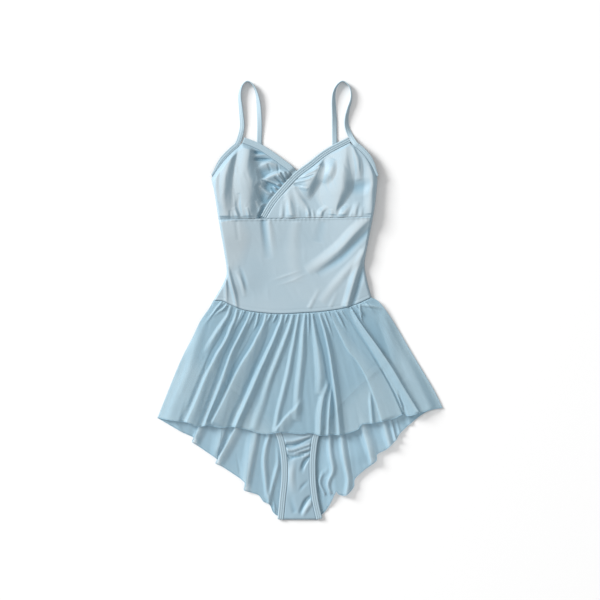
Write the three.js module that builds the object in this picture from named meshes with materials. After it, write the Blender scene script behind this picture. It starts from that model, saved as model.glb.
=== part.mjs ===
// A camisole dance dress laid flat on its back, seen from the front: wrapped cups over a plain midriff, thin straps,
// a brief, and a gathered net skirt that is short in front and long behind.
// Millimetres. +Z is up from the surface, +Y runs towards the straps, +X to the viewer's right, and the origin is on the
// surface under the middle of the dress. Every panel is a thin wall with its own folds, and the panels lie on each other.

import * as THREE from "three";

// Cloth, tape and gap sizes.
const JERSEY = 1.2;
const NET = 1.0;
const TAPE = 1.8;
const TAPE_WIDE = 10;
const STRAP_THICK = 1.6;
const STRAP_WIDE = 8;
const GAP = 0.3;

// Heights of the stacked layers above the surface, each clear of the one below it.
const BACK_TOP = JERSEY;
const SKIRT_BACK_TOP = NET;
const BRIEF_BACK_UNDER = SKIRT_BACK_TOP + GAP;
const BRIEF_BACK_TOP = BRIEF_BACK_UNDER + JERSEY;
const BRIEF_FRONT_UNDER = BRIEF_BACK_TOP + GAP;
const BRIEF_FRONT_TOP = BRIEF_FRONT_UNDER + JERSEY;
const LEG_TAPE_TOP = BRIEF_FRONT_UNDER + TAPE;
const SKIRT_FRONT_TOP = LEG_TAPE_TOP + GAP + NET;
const SKIRT_EDGE_TOP = SKIRT_BACK_TOP + GAP + NET;
const FRONT_EDGE_TOP = BACK_TOP + GAP + JERSEY;
const FRONT_TOP = BRIEF_FRONT_TOP + GAP + JERSEY;
const OVER_STRAP = STRAP_THICK + GAP;
const UNDERWRAP_TOP = 3.4;
const OVERWRAP_TOP = UNDERWRAP_TOP + GAP + JERSEY;
const CUP_RISE = 0.5;
const HEM_RISE = 2.2;

// How far in from a side seam the cloth needs to reach its own level.
const BODICE_SLOPE = 28;
const SKIRT_SLOPE = 22;

const FABRIC_BLUE = 0xb4cfdd;
const NET_BLUE = 0xa9cbdc;

const clamp = (t) => Math.min(1, Math.max(0, t));
const lerp = (a, b, t) => a + (b - a) * t;
// 0 up to the start, 1 from the end on, and a smooth rise between them; start may be above end.
const smooth = (start, end, t) => {
  const s = clamp((t - start) / (end - start));
  return s * s * (3 - 2 * s);
};

// Rows of numbers as objects with named columns.
function table(columns, rows) {
  const names = columns.split(" ");
  return rows.map((row) => Object.fromEntries(names.map((name, i) => [name, row[i]])));
}

// A smooth function through [position, value] pairs, positions rising, straight past both ends.
function through(pairs) {
  const last = pairs.length - 1;
  const slope = pairs.map((_, i) => {
    const [a, b] = [pairs[Math.max(i - 1, 0)], pairs[Math.min(i + 1, last)]];
    return (b[1] - a[1]) / (b[0] - a[0]);
  });
  return (at) => {
    if (at <= pairs[0][0]) return pairs[0][1] + slope[0] * (at - pairs[0][0]);
    if (at >= pairs[last][0]) return pairs[last][1] + slope[last] * (at - pairs[last][0]);
    const i = pairs.findIndex((pair) => pair[0] > at) - 1;
    const step = pairs[i + 1][0] - pairs[i][0];
    const t = (at - pairs[i][0]) / step;
    return (
      pairs[i][1] * (1 + 2 * t) * (1 - t) ** 2 +
      slope[i] * step * t * (1 - t) ** 2 +
      pairs[i + 1][1] * t * t * (3 - 2 * t) +
      slope[i + 1] * step * t * t * (t - 1)
    );
  };
}

// A smooth line in plan through points, walked evenly by its length from 0 to 1.
function line(points) {
  const spline = new THREE.SplineCurve(points.map(([x, y]) => new THREE.Vector2(x, y)));
  return (t) => {
    const p = spline.getPointAt(clamp(t));
    return [p.x, p.y];
  };
}

// The same line moved sideways, to the right of its walking direction.
function beside(walk, distance) {
  return (t) => {
    const [[ax, ay], [bx, by]] = [walk(t - 0.01), walk(t + 0.01)];
    const length = Math.hypot(bx - ax, by - ay);
    const [x, y] = walk(t);
    return [x + ((by - ay) / length) * distance, y - ((bx - ax) / length) * distance];
  };
}

// How far a point lies to the right of a line, negative to its left.
function rightOf(walk, steps = 60) {
  const points = Array.from({ length: steps + 1 }, (_, i) => walk(i / steps));
  return (x, y) => {
    let best = Infinity;
    let signed = 0;
    for (let i = 0; i < steps; i++) {
      const [[ax, ay], [bx, by]] = [points[i], points[i + 1]];
      const [dx, dy] = [bx - ax, by - ay];
      const t = clamp(((x - ax) * dx + (y - ay) * dy) / (dx * dx + dy * dy));
      const away = Math.hypot(x - ax - t * dx, y - ay - t * dy);
      if (away < best) {
        best = away;
        signed = Math.sign((x - ax) * dy - (y - ay) * dx) * away;
      }
    }
    return signed;
  };
}

// A panel spread between its four edges. Top and bottom run left to right, left and right run top to bottom.
function spread({ top, bottom, left, right }) {
  const corner = [top(0), top(1), bottom(0), bottom(1)];
  return (u, v) =>
    [0, 1].map(
      (k) =>
        lerp(top(u)[k], bottom(u)[k], v) +
        lerp(left(v)[k], right(v)[k], u) -
        lerp(lerp(corner[0][k], corner[1][k], u), lerp(corner[2][k], corner[3][k], u), v),
    );
}

// The height of one soft fold: a rounded ridge, or a trough where its rise is negative, along a bowed line.
function foldHeight(fold, x, y) {
  const [dx, dy] = [fold.toX - fold.fromX, fold.toY - fold.fromY];
  const length = Math.hypot(dx, dy);
  const along = ((x - fold.fromX) * dx + (y - fold.fromY) * dy) / length ** 2;
  const held = clamp(along);
  const across = ((y - fold.fromY) * dx - (x - fold.fromX) * dy) / length - 4 * fold.bow * held * (1 - held);
  const lean = 1 - Math.sign(across) * fold.lean;
  const wide = lerp(fold.fromWide, fold.toWide, held) * lean;
  if (Math.abs(across) >= wide) return 0;
  const ends = fold.fade ? smooth(-fold.fade, fold.fade, along) * smooth(-fold.fade, fold.fade, 1 - along) : 1;
  return (lerp(fold.fromRise, fold.toRise, held) * ends * (1 + Math.cos((Math.PI * across) / wide))) / 2;
}

const relief = (folds) => (x, y) => folds.reduce((sum, fold) => sum + foldHeight(fold, x, y), 0);

// A closed mesh from points and triangles, turned so that its faces point out.
function closedMesh(name, points, triangles, colour) {
  let volume = 0;
  for (const [a, b, c] of triangles) {
    const [p, q, r] = [points[a], points[b], points[c]];
    volume += p.x * (q.y * r.z - q.z * r.y) + p.y * (q.z * r.x - q.x * r.z) + p.z * (q.x * r.y - q.y * r.x);
  }
  const faces = volume > 0 ? triangles : triangles.map(([a, b, c]) => [a, c, b]);
  const geometry = new THREE.BufferGeometry();
  geometry.setAttribute(
    "position",
    new THREE.Float32BufferAttribute(
      points.flatMap((p) => [p.x, p.y, p.z]),
      3,
    ),
  );
  geometry.setIndex(faces.flat());
  geometry.computeVertexNormals();
  const material = new THREE.MeshStandardMaterial({ color: colour, roughness: 0.85, metalness: 0 });
  const mesh = new THREE.Mesh(geometry, material);
  mesh.name = name;
  return mesh;
}

// A cloth wall on a grid. top(x, y) is the height of its upper face, its lower face lies one thickness below square to
// the slope, and never below under(x, y). The rows stand closer together near the top edge where closer is over 1.
const STEP = 0.4;
const MOST_LEAN = 1.8;
function cloth(name, { place, top, thick, columns, rows, under = () => 0, closer = 1, colour = FABRIC_BLUE }) {
  const [upper, lower, triangles] = [[], [], []];
  for (let j = 0; j <= rows; j++) {
    for (let i = 0; i <= columns; i++) {
      const [x, y] = place(i / columns, (j / rows) ** closer);
      const slopeX = (top(x + STEP, y) - top(x - STEP, y)) / (2 * STEP);
      const slopeY = (top(x, y + STEP) - top(x, y - STEP)) / (2 * STEP);
      const lean = Math.min(MOST_LEAN, Math.hypot(1, slopeX, slopeY));
      const high = top(x, y);
      upper.push(new THREE.Vector3(x, y, high));
      lower.push(new THREE.Vector3(x, y, Math.max(under(x, y), high - thick * lean)));
    }
  }
  const count = upper.length;
  const at = (i, j) => j * (columns + 1) + i;
  const quad = (a, b, c, d) => triangles.push([a, b, c], [a, c, d]);
  for (let j = 0; j < rows; j++) {
    for (let i = 0; i < columns; i++) {
      const [a, b, c, d] = [at(i, j), at(i, j + 1), at(i + 1, j + 1), at(i + 1, j)];
      quad(a, b, c, d);
      quad(a + count, d + count, c + count, b + count);
    }
  }
  const rim = (a, b) => quad(a, a + count, b + count, b);
  for (let i = 0; i < columns; i++) {
    rim(at(i + 1, 0), at(i, 0));
    rim(at(i, rows), at(i + 1, rows));
  }
  for (let j = 0; j < rows; j++) {
    rim(at(0, j), at(0, j + 1));
    rim(at(columns, j + 1), at(columns, j));
  }
  return closedMesh(name, [...upper, ...lower], triangles, colour);
}

// A tape sewn along a panel's edge: it lies beside the line, from one gap away to its full width.
function tape(name, { edge, side, from = 0, to = 1, steps, top, under, wide = TAPE_WIDE, thick = TAPE }) {
  const inner = beside(edge, side * GAP);
  const outer = beside(edge, side * (GAP + wide));
  const place = (u, v) => {
    const t = lerp(from, to, u);
    return [0, 1].map((k) => lerp(inner(t)[k], outer(t)[k], v));
  };
  return cloth(name, { place, top, under, thick, columns: steps, rows: 1 });
}

// A flat ribbon along points that each say how far it is turned about its own line, in degrees, and how high its
// lowest edge lies.
function ribbon(name, points, steps) {
  const path = new THREE.CatmullRomCurve3(
    points.map(({ x, y }) => new THREE.Vector3(x, y, 0)),
    false,
    "centripetal",
  );
  const along = (column) => through(points.map((point, i) => [i / (points.length - 1), point[column]]));
  const [turnAt, liftAt] = [along("turned"), along("lift")];
  const corners = [
    [1, 1],
    [-1, 1],
    [-1, -1],
    [1, -1],
  ];
  const [ring, triangles] = [[], []];
  for (let i = 0; i <= steps; i++) {
    const t = i / steps;
    const [centre, ahead] = [path.getPoint(t), path.getTangent(t)];
    const turned = THREE.MathUtils.degToRad(turnAt(t));
    const across = new THREE.Vector3(ahead.y, -ahead.x, 0).applyAxisAngle(ahead, turned);
    const face = new THREE.Vector3().crossVectors(across, ahead);
    centre.z =
      Math.max(0, liftAt(t)) +
      (STRAP_WIDE * Math.abs(Math.sin(turned)) + STRAP_THICK * Math.abs(Math.cos(turned))) / 2;
    for (const [a, b] of corners) {
      const corner = centre.clone().addScaledVector(across, (a * STRAP_WIDE) / 2);
      ring.push(corner.addScaledVector(face, (b * STRAP_THICK) / 2));
    }
  }
  for (let i = 0; i < steps; i++) {
    for (let k = 0; k < 4; k++) {
      const [a, b] = [4 * i + k, 4 * i + ((k + 1) % 4)];
      triangles.push([a, b, b + 4], [a, b + 4, a + 4]);
    }
  }
  const end = 4 * steps;
  triangles.push([0, 2, 1], [0, 3, 2], [end, end + 1, end + 2], [end, end + 2, end + 3]);
  return closedMesh(name, ring, triangles, FABRIC_BLUE);
}

// Where the cross seams meet the side seams, and where the crossed cups end on the empire seam.
const WAIST = { left: -143, right: 118 };
const WAIST_Y = { left: -1, right: 4 };
const EMPIRE = { left: -134.5, right: 120.5 };
const EMPIRE_Y = { left: 133, right: 137 };
const CROSSED = { left: -56, right: 42 };
const CUP_SIDE_TOP = { left: 200, right: 199 };

// Side seams of the bodice, as x for each y, and the two cross seams, as y for each x.
const leftSide = through([
  [WAIST_Y.left, WAIST.left],
  [11, -136],
  [27, -127],
  [44, -121],
  [72, -124],
  [EMPIRE_Y.left, EMPIRE.left],
  [166, -139.5],
  [CUP_SIDE_TOP.left, -146],
]);
const rightSide = through([
  [WAIST_Y.right, WAIST.right],
  [31, 111],
  [57, 106.5],
  [71, 108],
  [EMPIRE_Y.right, EMPIRE.right],
  [166, 125],
  [CUP_SIDE_TOP.right, 128],
]);
const waistCurve = through([
  [WAIST.left, WAIST_Y.left],
  [-127, -2],
  [-112, -9],
  [-91, -17],
  [-54, -22],
  [-27, -23],
  [1, -21.5],
  [37, -19],
  [75, -13],
  [98, -5],
  [WAIST.right, WAIST_Y.right],
]);
const empireSeam = (x) => lerp(EMPIRE_Y.left, EMPIRE_Y.right, (x - EMPIRE.left) / (EMPIRE.right - EMPIRE.left));


// The waist seam runs in straight stretches, and every panel sewn to it has a multiple of their number in columns.
const WAIST_STRETCHES = 24;
function waistSeam(x) {
  const place = clamp((x - WAIST.left) / (WAIST.right - WAIST.left)) * WAIST_STRETCHES;
  const start = Math.min(Math.floor(place), WAIST_STRETCHES - 1);
  const [a, b] = [start, start + 1].map((i) => waistCurve(lerp(WAIST.left, WAIST.right, i / WAIST_STRETCHES)));
  return lerp(a, b, place - start);
}

// A seam as a line from x to x, and a side as a line from y to y.
const seamLine = (seam, fromX, toX, shift) => (t) => {
  const x = lerp(fromX, toX, t);
  return [x, seam(x) + shift];
};
const sideLine = (side, fromY, toY) => (t) => {
  const y = lerp(fromY, toY, t);
  return [side(y), y];
};

// The front lies low at its side seams and rises to its own level a little way in, and all of it lies over the brief
// at the waist.
const WAIST_SLOPE = 45;
function frontLevel(x, y) {
  const inFromSide = Math.min(x - leftSide(y), rightSide(y) - x);
  const edge = lerp(FRONT_TOP, FRONT_EDGE_TOP, smooth(0, WAIST_SLOPE, y));
  return lerp(edge, FRONT_TOP, smooth(0, BODICE_SLOPE, inFromSide));
}

// Cut edges of the cups, inside their tapes. Necks run from tip to seam, armholes from tip to side.
const leftNeck = line([
  [-95, 258.5],
  [-67, 247],
  [-33.5, 224],
  [-14.5, 208],
  [11, 173],
  [CROSSED.right, empireSeam(CROSSED.right) + GAP / 2],
]);
const leftArmhole = line([
  [-95, 258.5],
  [-119.5, 235.5],
  [-134.5, 217],
  [leftSide(CUP_SIDE_TOP.left), CUP_SIDE_TOP.left],
]);
const rightNeck = line([
  [82, 258.5],
  [47, 240],
  [20.5, 219.5],
  [-3.5, 201],
  [-24, 179],
  [-42, 157.5],
  [CROSSED.left, empireSeam(CROSSED.left) + GAP / 2],
]);
const rightArmhole = line([
  [82, 258.5],
  [101, 243],
  [115.5, 224],
  [rightSide(CUP_SIDE_TOP.right), CUP_SIDE_TOP.right],
]);
const backwards = (walk) => (t) => walk(1 - t);

const FOLD_COLUMNS = "fromX fromY toX toY bow fromWide toWide lean fromRise toRise fade";

// Folds of the left cup: the full ridge under the strap, and the pinch at the crossing.
const LEFT_CUP_FOLDS = table(FOLD_COLUMNS, [
  [-92, 256, -97, 136, 2, 12, 17, 0, 4, 5.5, 0.12],
  [-121, 232, -131, 140, 3, 8, 11, 0, 2, 3.2, 0.15],
  [-76, 246, -66, 192, -7, 9, 11, 0, -2, -3, 0.2],
  [-60, 222, -28, 226, 0, 10, 9, 0, 3.4, 2.6, 0.25],
  [-62, 198, -27, 208, 0, 5, 8, 0.2, 3.5, 3, 0.25],
  [-58, 178, -40, 168, 3, 8, 9, 0, -2.5, -3, 0.3],
  [-78, 170, -68, 137, 0, 6, 6, 0, -3, -3, 0.3],
  [-72, 190, -60, 150, 3, 9, 8, 0, 3, 2, 0.3],
]);

// Folds of the right cup: gathers that fan out of the crossing, two hollows and small tucks on the seam.
const RIGHT_CUP_FOLDS = table(FOLD_COLUMNS, [
  [-2, 207, 34, 221, 0, 4, 8, 0, 2, 3.4, 0.2],
  [-8, 198, 20, 200, 2, 4, 9, 0, 2.4, 3, 0.25],
  [38, 226, 18, 182, 5, 9, 10, 0, -3, -3.2, 0.3],
  [52, 240, 50, 142, 0, 14, 16, 0, 3.4, 4.4, 0.15],
  [80, 250, 66, 142, 7, 9, 9, 0, -2.4, -3, 0.2],
  [96, 236, 104, 142, -4, 12, 13, 0, 2.4, 4, 0.15],
  [92, 190, 112, 192, 0, 5, 6, 0, -1.6, -1.6, 0.35],
  [-14, 184, 14, 138, 2, 5, 8, 0, -1.8, -2, 0.25],
  [-20, 178, -10, 138, 0, 4, 6, 0, 1.8, 2.2, 0.2],
  [46, 152, 36, 136, 0, 4, 4, 0, -1.8, -1.8, 0.3],
  [74, 150, 68, 138, 0, 4, 4, 0, -1.8, -1.8, 0.3],
]);

// Drape of the midriff: the long pull from the right side, and the hip folds under each side of the waist.
const MIDRIFF_FOLDS = table(FOLD_COLUMNS, [
  [112, 126, 14, 40, 5, 10, 14, 0, -2, -1, 0.25],
  [116, 100, 20, 24, 5, 12, 18, 0, 1.6, 1, 0.3],
  [104, 70, 84, 2, 3, 5, 8, 0.2, -1.8, -2.4, 0.15],
  [110, 52, 102, 8, 0, 6, 9, 0, 1.4, 2, 0.2],
  [-118, 44, -105, 0, 3, 4, 6, 0, 1.6, 2.2, 0.15],
  [-112, 48, -98, -6, 4, 5, 8, 0, -1.2, -1.8, 0.2],
  [-124, 120, -108, 50, 3, 10, 12, 0, 1.2, 0.8, 0.3],
  [-58, 128, -52, 60, 0, 12, 20, 0, -0.8, -0.5, 0.3],
]);

const underRightCup = rightOf(backwards(beside(rightNeck, GAP + TAPE_WIDE)));
// 1 where the left side must lie flat under the wrap, 0 clear of it.
const WRAP_CLEAR = { far: -22, near: -12 };
const underWrap = (x, y) => smooth(WRAP_CLEAR.far, WRAP_CLEAR.near, underRightCup(x, y));

const leftCupRelief = relief(LEFT_CUP_FOLDS);
function leftCupTop(x, y) {
  const open = Math.max(UNDERWRAP_TOP, frontLevel(x, y) + leftCupRelief(x, y));
  return lerp(open, UNDERWRAP_TOP, underWrap(x, y));
}

const rightCupRelief = relief(RIGHT_CUP_FOLDS);
function rightCupTop(x, y) {
  const least = lerp(FRONT_EDGE_TOP, OVERWRAP_TOP, smooth(0, BODICE_SLOPE, rightSide(y) - x));
  return Math.max(least, frontLevel(x, y) + CUP_RISE + rightCupRelief(x, y));
}

const midriffRelief = relief(MIDRIFF_FOLDS);
const midriffTop = (x, y) => Math.max(FRONT_EDGE_TOP, frontLevel(x, y) + midriffRelief(x, y));

// The back's top edge, under its tape, hangs lower than the neckline in front.
const BACK_SIDE_TOP = { left: 190, right: 188 };
const backNeck = line([
  [leftSide(BACK_SIDE_TOP.left), BACK_SIDE_TOP.left],
  [-110, 181],
  [-67, 173],
  [-6, 162],
  [57, 173],
  [98, 181],
  [rightSide(BACK_SIDE_TOP.right), BACK_SIDE_TOP.right],
]);

const bodice = [
  cloth("cup_left", {
    place: spread({
      top: backwards(leftArmhole),
      bottom: seamLine(empireSeam, EMPIRE.left, CROSSED.right, GAP / 2),
      left: sideLine(leftSide, CUP_SIDE_TOP.left, EMPIRE_Y.left + GAP / 2),
      right: leftNeck,
    }),
    top: leftCupTop,
    under: (x, y) => (x - leftSide(y) < BODICE_SLOPE ? BACK_TOP + GAP : OVER_STRAP),
    thick: JERSEY,
    columns: 24,
    rows: 16,
  }),
  cloth("cup_right", {
    place: spread({
      top: rightArmhole,
      bottom: seamLine(empireSeam, CROSSED.left, EMPIRE.right, GAP / 2),
      left: rightNeck,
      right: sideLine(rightSide, CUP_SIDE_TOP.right, EMPIRE_Y.right + GAP / 2),
    }),
    top: rightCupTop,
    under: (x, y) => (rightSide(y) - x < BODICE_SLOPE ? BACK_TOP + GAP : OVER_STRAP),
    thick: JERSEY,
    columns: 24,
    rows: 16,
  }),
  cloth("midriff_front", {
    place: spread({
      top: seamLine(empireSeam, EMPIRE.left, EMPIRE.right, -GAP / 2),
      bottom: seamLine(waistSeam, WAIST.left, WAIST.right, GAP / 2),
      left: sideLine(leftSide, EMPIRE_Y.left - GAP / 2, WAIST_Y.left + GAP / 2),
      right: sideLine(rightSide, EMPIRE_Y.right - GAP / 2, WAIST_Y.right + GAP / 2),
    }),
    top: midriffTop,
    under: () => BACK_TOP + GAP,
    thick: JERSEY,
    columns: WAIST_STRETCHES,
    rows: 11,
  }),
  cloth("back_bodice", {
    place: spread({
      top: backNeck,
      bottom: seamLine(waistSeam, WAIST.left, WAIST.right, GAP / 2),
      left: sideLine(leftSide, BACK_SIDE_TOP.left, WAIST_Y.left + GAP / 2),
      right: sideLine(rightSide, BACK_SIDE_TOP.right, WAIST_Y.right + GAP / 2),
    }),
    top: () => BACK_TOP,
    thick: JERSEY,
    columns: WAIST_STRETCHES,
    rows: 8,
  }),
];

// Neckline tapes. The left one ends under the wrap, the right one crosses over it down to the empire seam.
const tapes = [
  tape("neck_tape_left", {
    edge: leftNeck,
    side: -1,
    from: 0.05,
    to: 0.93,
    steps: 18,
    top: (x, y) => lerp(frontLevel(x, y), UNDERWRAP_TOP, underWrap(x, y)),
    under: () => OVER_STRAP,
  }),
  tape("neck_tape_right", {
    edge: rightNeck,
    side: 1,
    from: 0.04,
    to: 0.965,
    steps: 20,
    top: () => OVERWRAP_TOP + TAPE - JERSEY,
    under: () => UNDERWRAP_TOP + GAP,
  }),
  tape("back_tape", {
    edge: backNeck,
    side: -1,
    steps: 14,
    top: () => STRAP_THICK,
    thick: STRAP_THICK,
    wide: STRAP_WIDE,
  }),
];

// Each strap is one strip: it binds the armhole from side seam to cup tip, loops up on its edge and comes down behind
// the front to the back's top edge, turned over by then.
const STRAP_COLUMNS = "x y turned lift";
const LEFT_STRAP_LOOP = table(STRAP_COLUMNS, [
  [-98, 272, -6, 1.5],
  [-95.5, 288, -20, 0],
  [-97.5, 312, -38, 0],
  [-99.5, 338, -60, 0],
  [-95.5, 354, -78, 0],
  [-87, 360.5, -90, 0],
  [-78, 355, -98, 0],
  [-71.5, 342, -112, 0],
  [-68, 322, -140, 0],
  [-66.5, 290, -168, 0],
  [-67, 262, -180, 0],
  [-67, 225, -180, 0],
  [-67, 182.6, -180, 0],
]);
const RIGHT_STRAP_LOOP = table(STRAP_COLUMNS, [
  [82.5, 272, 6, 1.5],
  [77.5, 286, 25, 0],
  [77, 300, 45, 0],
  [80, 315, 62, 0],
  [84.5, 331, 76, 0],
  [84, 345, 86, 0],
  [79, 355, 90, 0],
  [70, 360.5, 92, 0],
  [60.5, 353, 104, 0],
  [55.5, 337, 128, 0],
  [56.5, 300, 160, 0],
  [57, 262, 180, 0],
  [57, 225, 180, 0],
  [57, 182.6, 180, 0],
]);
const ARMHOLE_POINTS = 9;
const STRIP_START = 0.93;
const STRIP_GAP = 0.4;
const STRIP_STEPS = 58;

function strap(name, armhole, side, loop) {
  const centreline = beside(armhole, side * (STRIP_GAP + STRAP_WIDE / 2));
  const sewn = Array.from({ length: ARMHOLE_POINTS }, (_, i) => {
    const [x, y] = centreline(STRIP_START * (1 - i / ARMHOLE_POINTS));
    return { x, y, turned: 0, lift: frontLevel(x, y) - JERSEY };
  });
  return ribbon(name, [...sewn, ...loop], STRIP_STEPS);
}
const straps = [
  strap("strap_left", leftArmhole, 1, LEFT_STRAP_LOOP),
  strap("strap_right", rightArmhole, -1, RIGHT_STRAP_LOOP),
];

// The brief: side seams down to the hip, then the leg openings down to the fold of the gusset.
const HIP_SHARE = 0.3;
const GUSSET_FOLD_Y = -362;
const leftLeg = line([
  [-160, -92],
  [-118, -128],
  [-70, -170],
  [-34, -212],
  [-22.5, -250],
  [-20.5, -292],
  [-24, -330],
  [-27, GUSSET_FOLD_Y],
]);
const rightLeg = line([
  [139, -92],
  [104, -124],
  [60, -166],
  [26, -212],
  [17, -250],
  [16, -292],
  [20, -330],
  [27, GUSSET_FOLD_Y],
]);
const hipThenLeg = (corner, hip, leg) => {
  const side = line([corner, hip]);
  return (v) => (v < HIP_SHARE ? side(v / HIP_SHARE) : leg((v - HIP_SHARE) / (1 - HIP_SHARE)));
};
const waistCorner = (x) => [x, waistSeam(x) - GAP / 2];
const briefPlace = spread({
  top: seamLine(waistSeam, WAIST.left, WAIST.right, -GAP / 2),
  bottom: line([leftLeg(1), rightLeg(1)]),
  left: hipThenLeg(waistCorner(WAIST.left), leftLeg(0), leftLeg),
  right: hipThenLeg(waistCorner(WAIST.right), rightLeg(0), rightLeg),
});

// The legs' tapes meet the panels on the same straight stretches, so their steps match the panels' rows.
const BRIEF_ROWS = 20;
const LEG_ROWS = BRIEF_ROWS * (1 - HIP_SHARE);
const brief = [
  cloth("brief_front", {
    place: briefPlace,
    top: () => BRIEF_FRONT_TOP,
    thick: JERSEY,
    columns: 12,
    rows: BRIEF_ROWS,
  }),
  cloth("brief_back", {
    place: briefPlace,
    top: () => BRIEF_BACK_TOP,
    thick: JERSEY,
    columns: 8,
    rows: BRIEF_ROWS,
  }),
];
for (const [side, leg, turn] of [
  ["left", leftLeg, 1],
  ["right", rightLeg, -1],
]) {
  brief.push(
    tape(`leg_tape_${side}_front`, {
      edge: leg,
      side: turn,
      steps: LEG_ROWS,
      top: () => LEG_TAPE_TOP,
    }),
    tape(`leg_tape_${side}_back`, {
      edge: leg,
      side: turn,
      steps: LEG_ROWS,
      top: () => BRIEF_BACK_TOP,
      thick: JERSEY,
    }),
  );
}

// The skirt's outline. The front and back share their sides and differ in their hems.
const skirtLeft = line([
  [-143, -1.2],
  [-150, -14],
  [-164, -34],
  [-177, -61],
  [-199, -105],
  [-235, -194],
]);
const skirtRight = line([
  [118, 3.8],
  [131, -4],
  [153, -34],
  [186, -90],
  [220, -147],
  [235, -177.5],
]);
const frontHem = line([
  [-235, -194],
  [-187, -201],
  [-150, -206],
  [-108, -208.5],
  [-59, -219],
  [-20, -218],
  [35, -222],
  [80, -218],
  [102, -205],
  [139, -199],
  [178, -189.5],
  [235, -177.5],
]);
const backHem = line([
  [-235, -194],
  [-199, -215],
  [-157, -248],
  [-124, -277],
  [-90, -306],
  [-50, -337],
  [-30, -356],
  [0, -358],
  [32, -353],
  [59, -322],
  [88, -303],
  [125, -261],
  [158, -227],
  [191, -196],
  [235, -177.5],
]);

// Large folds of the front skirt, from the waist seam to the hem.
const FRONT_SKIRT_FOLDS = table(FOLD_COLUMNS, [
  [-122, -6, -208, -198, 0, 6, 20, 0.1, 1.5, 3, 0],
  [-104, -12, -187, -201, 2, 5, 15, 0.25, 2, 5.5, 0],
  [-81, -19, -158, -207, 2, 5, 11, 0.25, 2, 6, 0],
  [-54, -22, -142, -204, 5, 5, 10, -0.15, 2, 6.5, 0],
  [-28, -23, -108, -208, 4, 6, 15, 0.1, 2.5, 7.5, 0],
  [-14, -22, -77, -214, 3, 5, 13, 0, 2, 5.5, 0],
  [0, -22, -43, -219, 3, 5, 14, 0, 2, 5, 0],
  [7, -21, -6, -218, 1, 5, 15, 0, 2, 5, 0],
  [21, -20, 33, -222, -1, 5, 16, 0.2, 2, 4.5, 0],
  [37, -19, 65, -221, -3, 5, 13, -0.3, 2.5, 7, 0],
  [46, -18, 96, -210, -2, 5, 13, 0, 2, 4.5, 0],
  [56, -17, 134, -200, -3, 5, 16, 0, 2, 4.5, 0],
  [80, -12, 184, -189, -3, 4, 11, 0.2, 2, 6, 0],
  [100, -4, 214, -182, -2, 5, 16, 0, 2, 3, 0],
]);

// Large folds of the back skirt. They lie low under the front skirt and stand up past its hem.
const BACK_SKIRT_FOLDS = table(FOLD_COLUMNS, [
  [-104, -16, -178, -238, -10, 6, 11, 0.1, 1.5, 5, 0],
  [-84, -20, -150, -254, -10, 6, 12, 0.1, 1.5, 4.5, 0],
  [-62, -22, -137, -268, -14, 6, 12, -0.2, 1.5, 6.5, 0],
  [-48, -22, -112, -288, -8, 6, 10, 0, 1.5, 3, 0],
  [-38, -22, -89, -308, -10, 6, 12, -0.2, 1.5, 6, 0],
  [-28, -22, -66, -324, -12, 6, 10, 0, 1.5, 5, 0],
  [-20, -22, -48, -340, -8, 6, 8, 0, 1.5, 4.5, 0],
  [28, -20, 46, -336, -6, 6, 9, 0.2, 1.5, 5, 0],
  [38, -19, 74, -320, -3, 6, 13, 0.1, 1.5, 6, 0],
  [50, -18, 98, -292, 2, 6, 10, 0, 1.5, 3, 0],
  [62, -16, 124, -264, 2, 6, 13, 0.2, 1.5, 6, 0],
  [78, -12, 154, -234, 2, 6, 12, 0.2, 1.5, 5, 0],
  [92, -8, 172, -216, 0, 6, 9, 0, 1.5, 4, 0],
]);

// Small gathers along the waist seam, evenly spaced and running the way the skirt falls there.
const GATHERS = 30;
const GATHER_LENGTH = 42;
function gathers(hem, rise) {
  return Array.from({ length: GATHERS }, (_, i) => {
    const share = (i + 0.5 + 0.22 * Math.sin(2.4 * i)) / GATHERS;
    const x = lerp(WAIST.left, WAIST.right, share);
    const y = waistSeam(x);
    const [hemX, hemY] = hem(share);
    const reach = (GATHER_LENGTH * (1 + 0.3 * Math.sin(5.1 * i))) / Math.hypot(hemX - x, hemY - y);
    return {
      fromX: x,
      fromY: y,
      toX: lerp(x, hemX, reach),
      toY: lerp(y, hemY, reach),
      bow: 0,
      fromWide: 3.2,
      toWide: 5,
      lean: 0,
      fromRise: rise,
      toRise: 0,
      fade: 0,
    };
  });
}

// How far outside the brief with its tapes a point lies, negative inside it.
const briefEdge = (corner, hip, leg, side) => beside((t) => hipThenLeg(corner, hip, leg)(clamp(t)), side * TAPE_WIDE);
const pastLeftBrief = rightOf(briefEdge(waistCorner(WAIST.left), leftLeg(0), leftLeg, 1));
const insideRightBrief = rightOf(briefEdge(waistCorner(WAIST.right), rightLeg(0), rightLeg, -1));
const outsideBrief = (x, y) => Math.max(pastLeftBrief(x, y), -insideRightBrief(x, y));

const pastLeftSide = rightOf(skirtLeft);
const insideRightSide = rightOf(skirtRight);
const inFromSkirtSide = (x, y) => Math.max(0, Math.min(-pastLeftSide(x, y), insideRightSide(x, y)));
const belowFrontHem = rightOf(frontHem);

// The back skirt's folds are pressed low under the front skirt and lie flat under the brief.
const PRESSED = 0.45;
const backSkirtRelief = relief([...BACK_SKIRT_FOLDS, ...gathers(backHem, 0.8)]);
function skirtBackTop(x, y) {
  const free = lerp(PRESSED, 1, smooth(-4, 16, belowFrontHem(x, y)));
  const clearance = lerp(40, 16, smooth(-180, -240, y));
  const flat = smooth(4, clearance, outsideBrief(x, y)) * smooth(0, SKIRT_SLOPE, inFromSkirtSide(x, y));
  return SKIRT_BACK_TOP + backSkirtRelief(x, y) * free * flat;
}

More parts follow.
